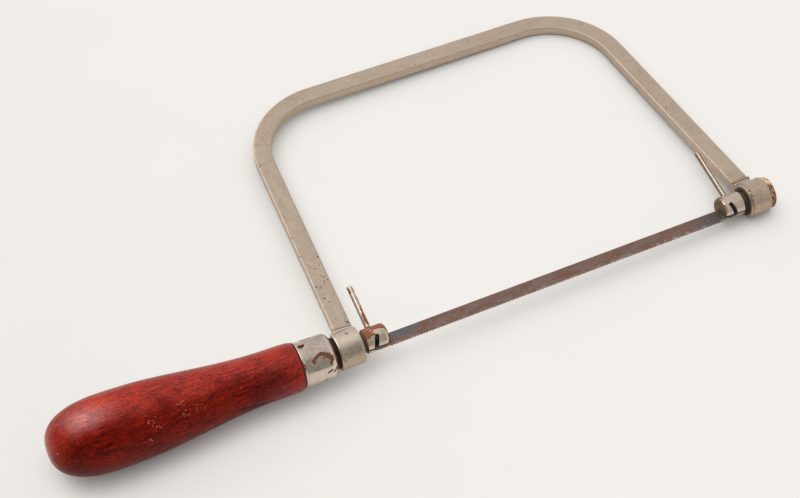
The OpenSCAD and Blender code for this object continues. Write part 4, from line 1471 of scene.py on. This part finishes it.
# ------------------------------------------------------------------ front end washer
def end_washer_material():
    mat = Material("end_washer_rust")
    mottle = mat.noise(mat.warp(scale=0.8, amount=0.6), scale=1.1, detail=7, rough=0.68)
    # darker towards -Y
    low = mat.xyz(mat.place)[1].rise(1.5, -4.5)
    colour = mat.ramp((mottle - low * 0.10).rise(0.33, 0.66), [
        (0, (0.15, 0.068, 0.030)), (0.3, (0.43, 0.225, 0.105)), (0.6, (0.76, 0.54, 0.335)),
        (1, (0.92, 0.79, 0.63))])
    fine = mat.noise(scale=4.5, detail=4, rough=0.7)
    colour = mat.mix(fine.rise(0.54, 0.70, to=(0, 0.55)), colour, (0.03, 0.014, 0.008))
    bare = mottle.rise(0.52, 0.66)
    return mat.done(Base_Color=colour, Metallic=mat.mixf(bare, 0.25, 0.75),
                    Roughness=mat.mixf(bare, 0.75, 0.5),
                    Normal=mat.bump(mottle + fine * 0.4, strength=0.6, distance=0.12))


def make_end_washer():
    x0, x1, outer, inner, edge = end_washer_low[0], end_washer_high[0], 6.75, 2.65, 0.9
    profile = dense(
        [(x0, inner + 0.1), (x0, outer - 0.3), (x0 + 0.09, outer - 0.09), (x0 + 0.3, outer)]
        + profile_arc(x1 - edge, outer - edge, edge, 0, 90, 8)
        + [(x1, inner + 0.1), (x1 - 0.12, inner), (x0 + 0.12, inner)], 0.22, closed=True)
    washer = lathe("front_end_washer_ring", profile, 200, closed=True,
                   shape=worn_ring(201, 0.16, outer - 1.0))
    finish_piece(washer, "front_chuck", end_washer_material(),
                 "front_end_washer", sharp=60)


make_end_washer()


# ------------------------------------------------------------------ blade
# pale spots of corrosion by the front holder: x, y, z, radius
BLADE_SPOTS = [
    (170.34, -0.96, 0.25, 0.26), (169.90, -2.42, 0.25, 0.30), (168.72, -3.58, 0.25, 0.28),
    (168.94, -4.48, 0.25, 0.26), (168.98, -2.17, 0.25, 0.18), (161.95, -3.43, 0.25, 0.22)]


def blade_outline():
    """(x, y, tooth set) round the blade: along the back, then back along the teeth."""
    x0, x1 = blade_low[0], blade_high[0]
    back, tip, valley = blade_high[1], blade_low[1], blade_low[1] + 0.60
    pitch, count, first = 25.4 / 20.0, 120, REAR_PIN[0] + 4.6
    rng = np.random.RandomState(3)
    ring = [(x0, back - 0.4, 0), (x0 + 0.15, back - 0.12, 0), (x0 + 0.4, back, 0)]
    ring += [(x, back, 0) for x in np.arange(x0 + 2, x1 - 1, 1.5)]
    ring += [(x1 - 0.4, back, 0), (x1 - 0.15, back - 0.12, 0), (x1, back - 0.4, 0),
             (x1, valley + 0.4, 0), (x1 - 0.4, valley, 0)]
    teeth = []
    for i in range(count):
        x, wear, lean = first + i * pitch, rng.uniform(0.0, 0.03), 1 if i % 2 else -1
        teeth += [(x, valley, 0), (x + 0.11, tip + wear, lean),
                  (x + pitch * 0.40, tip + 0.27, 0.4 * lean), (x + pitch * 0.72, valley, 0)]
    ring += teeth[::-1] + [(x0 + 0.4, valley, 0), (x0, valley + 0.4, 0)]
    return np.array(ring), valley


def make_blade():
    ring, valley = blade_outline()
    outline, tooth_set = ring[:, :2], ring[:, 2] * 0.07
    half, bevel = 0.25, 0.07
    # an inner ring carries the flat faces; the rim between them is a small worn edge
    tangent = np.roll(outline, -1, 0) - np.roll(outline, 1, 0)
    tangent /= np.maximum(np.linalg.norm(tangent, axis=1), 1e-9)[:, None]
    inward = np.c_[tangent[:, 1], -tangent[:, 0]]
    inset = np.where(ring[:, 1] > valley + 0.2, 0.09, 0.03)
    inner = outline + inward * inset[:, None]
    points = np.vstack([np.c_[flat, z + tooth_set] for flat, z in (
        (inner, half), (outline, half - bevel), (outline, -half + bevel), (inner, -half))])
    count = len(ring)
    faces = [tuple(range(count)), tuple(range(3 * count, 4 * count))[::-1]]
    blade = raw_mesh("saw_blade", points, faces + quad_grid(4, count))

    def split_faces(bm):
        bmesh.ops.triangulate(bm, faces=[f for f in bm.faces if len(f.verts) > 4])
        face_outward(bm)

    edit(blade.data, split_faces)
    for pin in (REAR_PIN, FRONT_PIN):
        boolean(blade, rod("pin_hole", (pin[0], pin[1], 0), (0, 0, 1),
                           [(-2, 0), (-2, 0.76), (2, 0.76), (2, 0)], 32))
    finish_piece(blade, "blade_group", blade_material(), "blade", sharp=25)


def blade_material():
    mat = Material("blade_rusted_blued")
    x, y, _ = mat.xyz(mat.place)
    streak = mat.noise(mat.warp(scale=0.4, amount=0.8).scaled(0.55, 1.0, 1.0),
                       scale=0.75, detail=7, rough=0.66)
    broad = mat.noise(mat.place.scaled(0.3, 1, 1), scale=0.30, detail=4)
    fine = mat.noise(scale=2.8, detail=6, rough=0.72)
    blend = streak * 0.5 + (broad * 0.25 + fine * 0.25)
    steel = mat.mix(fine, (0.13, 0.115, 0.105), (0.27, 0.245, 0.225))
    rust = mat.ramp((fine * 0.7 + streak * 0.3).rise(0.34, 0.66), [
        (0, (0.045, 0.016, 0.010)), (0.45, (0.15, 0.056, 0.036)),
        (0.8, (0.32, 0.145, 0.098)), (1, (0.46, 0.27, 0.20))])
    cover = blend.rise(0.40, 0.56)
    # less rust and bluer near the rear holder, dark at the front end
    blue = mat.vector("DISTANCE", mat.place.scaled(0.35, 1, 1), (22.5 * 0.35, -1.8, 0.25))
    blue = blue.rise(3.6, 1.2) * streak.rise(0.30, 0.55, to=(0.6, 1.0))
    cover = cover * (1.0 - blue * 0.75)
    front = mat.noise(scale=0.25, detail=3).rise(0.30, 0.55, to=(0.5, 1.0))
    front = x.rise(150, 163) * front
    cover = cover * (1.0 - front * 0.8)
    steel = mat.mix(blue, steel, (0.105, 0.135, 0.155))
    steel = mat.mix(front, steel, mat.mix(fine, (0.045, 0.05, 0.05), (0.17, 0.165, 0.155)))
    # rust creeps in from the back edge near the handle
    edge = y.rise(-1.0, 0.35) * x.rise(60, 16)
    cover = cover.at_least(edge * fine.rise(0.30, 0.50))
    colour = mat.mix(cover, steel, rust)
    # bright metal on the tooth points, more towards the front, and scattered flecks
    tooth = y.rise(-4.75, -5.35) * mat.noise(scale=0.8, detail=3).rise(0.48, 0.60)
    tooth = tooth * x.rise(60, 150, to=(0.35, 1.0))
    colour = mat.mix(tooth * 0.5, colour, (0.55, 0.50, 0.46))
    fleck = mat.noise(scale=1.9, detail=5, rough=0.75).rise(0.66, 0.72) * 0.7
    colour = mat.mix(fleck, colour, (0.45, 0.40, 0.36))
    spots = mat.near(BLADE_SPOTS, mat.warp(scale=2.5, amount=0.15, detail=2)).rise(1.2, 0.6)
    colour = mat.mix(spots * 0.9, colour, (0.42, 0.58, 0.56))
    cover = cover.at_least(spots)
    return mat.done(Base_Color=colour, Metallic=mat.mixf(cover, 0.92, 0.35),
                    Roughness=mat.mixf(cover, 0.36, 0.72),
                    Normal=mat.bump(fine + cover * 0.6, strength=0.55, distance=0.07))


def make_pins():
    # the pins are near-black: dark rust, and painted shade for the slots they sit in
    material = rusty("pin_rust_and_shade", [(0, (0.008, 0.006, 0.005)), (0.5, (0.022, 0.014, 0.010)),
                                       (1, (0.075, 0.038, 0.022))], dark=0.05)
    half, r = PIN_LENGTH / 2, 0.75
    # the rounded end: distance from the tip, radius
    end = [(0, 0), (0, 0.50), (0.04, 0.60), (0.14, 0.70), (0.26, r)]
    profile = [(-half + t, radius) for t, radius in end]
    profile += [(t, r) for t in np.linspace(-half + 0.6, half - 0.6, 16)]
    profile += [(half - t, radius) for t, radius in end[::-1]]
    for side, place in (("rear", REAR_PIN), ("front", FRONT_PIN)):
        pin = rod(f"blade_{side}_pin", (place[0], place[1], 0), (0, 0, 1), profile, 40)
        finish_piece(pin, "blade_group", material, f"{side}_blade_pin", sharp=45)


make_blade()
make_pins()


# ------------------------------------------------------------------ handle nut
def finish_nut():
    """The hidden nut keeps its CAD shape and gets its own finish."""
    mat = Material("nut_plain_steel")
    mottle = mat.noise(scale=0.8, detail=5)
    brushed = mat.noise(mat.place.scaled(0.3, 1, 1), scale=3.0, detail=4)
    colour = mat.ramp(mottle.rise(0.3, 0.7), [
        (0, (0.16, 0.12, 0.09)), (0.5, (0.33, 0.30, 0.27)), (1, (0.50, 0.47, 0.44))])
    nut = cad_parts["handle_nut"]
    nut.data.materials.clear()
    nut.data.materials.append(mat.done(
        Base_Color=colour, Metallic=mottle.rise(0.3, 0.6, to=(0.6, 1.0)),
        Roughness=mat.mixf(brushed, 0.3, 0.55),
        Normal=mat.bump(brushed, strength=0.3, distance=0.05)))


finish_nut()


# ------------------------------------------------------------------ floor
def floor_material():
    mat = Material("pale_floor")
    broad, fine = mat.noise(scale=0.02, detail=4), mat.noise(scale=0.5, detail=5)
    colour = mat.mix(broad.rise(0.3, 0.7), (0.374, 0.370, 0.365), (0.384, 0.380, 0.375))
    # painted light: the floor glows faintly to stay pale; ambient occlusion dims the glow close
    # under the saw into a painted contact shadow, and it fades a little towards -X
    open_sky = mat.make("ShaderNodeAmbientOcclusion", {"Distance": 0.0125}, "AO", samples=6)
    painted_glow = open_sky.rise(0.08, 0.92, to=(0.04, 0.540))
    painted_glow = painted_glow * mat.xyz(mat.place)[0].rise(-170.0, 40.0, to=(0.925, 1.0))
    return mat.done(Base_Color=colour, Roughness=mat.mixf(fine, 0.60, 0.72),
                    Specular_IOR_Level=0.25,
                    Normal=mat.bump(fine, strength=0.08, distance=0.05),
                    Emission_Color=(1.0, 0.966, 0.918), Emission_Strength=painted_glow)


def make_floor():
    """A plane that slopes up gently towards +X and +Y."""
    level, slope_x, slope_y = -14.36, 0.0260, 0.0400      # level is at x = -100, y = 0
    cells = 24
    points = [(x, y, level + slope_x * (x + 100) + slope_y * y)
              for x in np.linspace(-1100, 1300, cells + 1)
              for y in np.linspace(-900, 1000, cells + 1)]
    floor = raw_mesh("floor", points, quad_grid(cells + 1, cells + 1, close_columns=False))
    floor.data.transform(Matrix.Scale(MM, 4))
    if floor.data.polygons[0].normal.z < 0:
        floor.data.flip_normals()
    floor.data.materials.append(floor_material())


make_floor()


# ------------------------------------------------------------------ light
def make_world():
    """A pale room, dim towards -Y, with a bright soft box overhead."""
    world = bpy.data.worlds.new("studio")
    bpy.context.scene.world = world
    world.use_nodes = True
    sky = Graph(world.node_tree)
    x, y, z = sky.xyz(sky.make("ShaderNodeTexCoord", out="Generated"))
    minus_y = sky.mixf(y.rise(-0.50, -0.16), x.rise(0.12, 0.42, to=(0.42, 0.92)), 1.0)
    minus_x = x.rise(-0.75, -0.45, to=(0.7, 1.0))
    plus_x = x.rise(0.28, 0.50, to=(1.0, 1.25))
    horizon = z.rise(0.0, 0.40, to=(0.80, 1.0))
    room = minus_x * minus_y * (plus_x * horizon) * 0.64
    soft_box = (y.rise(-0.38, -0.02) * y.rise(0.98, 0.60, to=(0.3, 1.0))
                * (x.rise(-0.62, -0.38) * x.rise(0.09, -0.14)))
    soft_box = soft_box * z.rise(0.0, 0.15)
    light = sky.make("ShaderNodeBackground", {
        "Color": sky.mix(soft_box, (1.0, 0.975, 0.945), (1.0, 0.99, 0.975)),
        "Strength": room + soft_box * 2.3})
    backdrop = sky.make("ShaderNodeBackground", {"Color": (0.86, 0.84, 0.81, 1),
                                                 "Strength": 1.0})
    seen = sky.make("ShaderNodeLightPath", out="Is Camera Ray")
    sky.link_output("ShaderNodeOutputWorld",
                    sky.make("ShaderNodeMixShader", {0: seen, 1: light, 2: backdrop}))


make_world()
bpy.context.scene.view_settings.view_transform = "Standard"
bpy.context.scene.view_settings.look = "None"


# ------------------------------------------------------------------ camera
def make_camera():
    """Looks down at the saw from the -Y side."""
    data = bpy.data.cameras.new("camera")
    camera = bpy.data.objects.new("camera", data)
    bpy.context.scene.collection.objects.link(camera)
    # columns: the camera's right, up and backward directions, and its place in metres
    camera.matrix_world = Matrix((
        (0.906880654425, 0.326756267846, -0.266078597509, -0.17350484),
        (-0.421277901301, 0.688634191306, -0.590176143570, -0.43527245),
        (-0.009612934225, 0.647312360447, 0.762164220827, 0.61099387),
        (0.0, 0.0, 0.0, 1.0)))
    data.sensor_fit = "HORIZONTAL"
    data.sensor_width = 36.0
    data.lens = 87.550686
    data.clip_start, data.clip_end = 0.05, 20.0
    bpy.context.scene.camera = camera


make_camera()
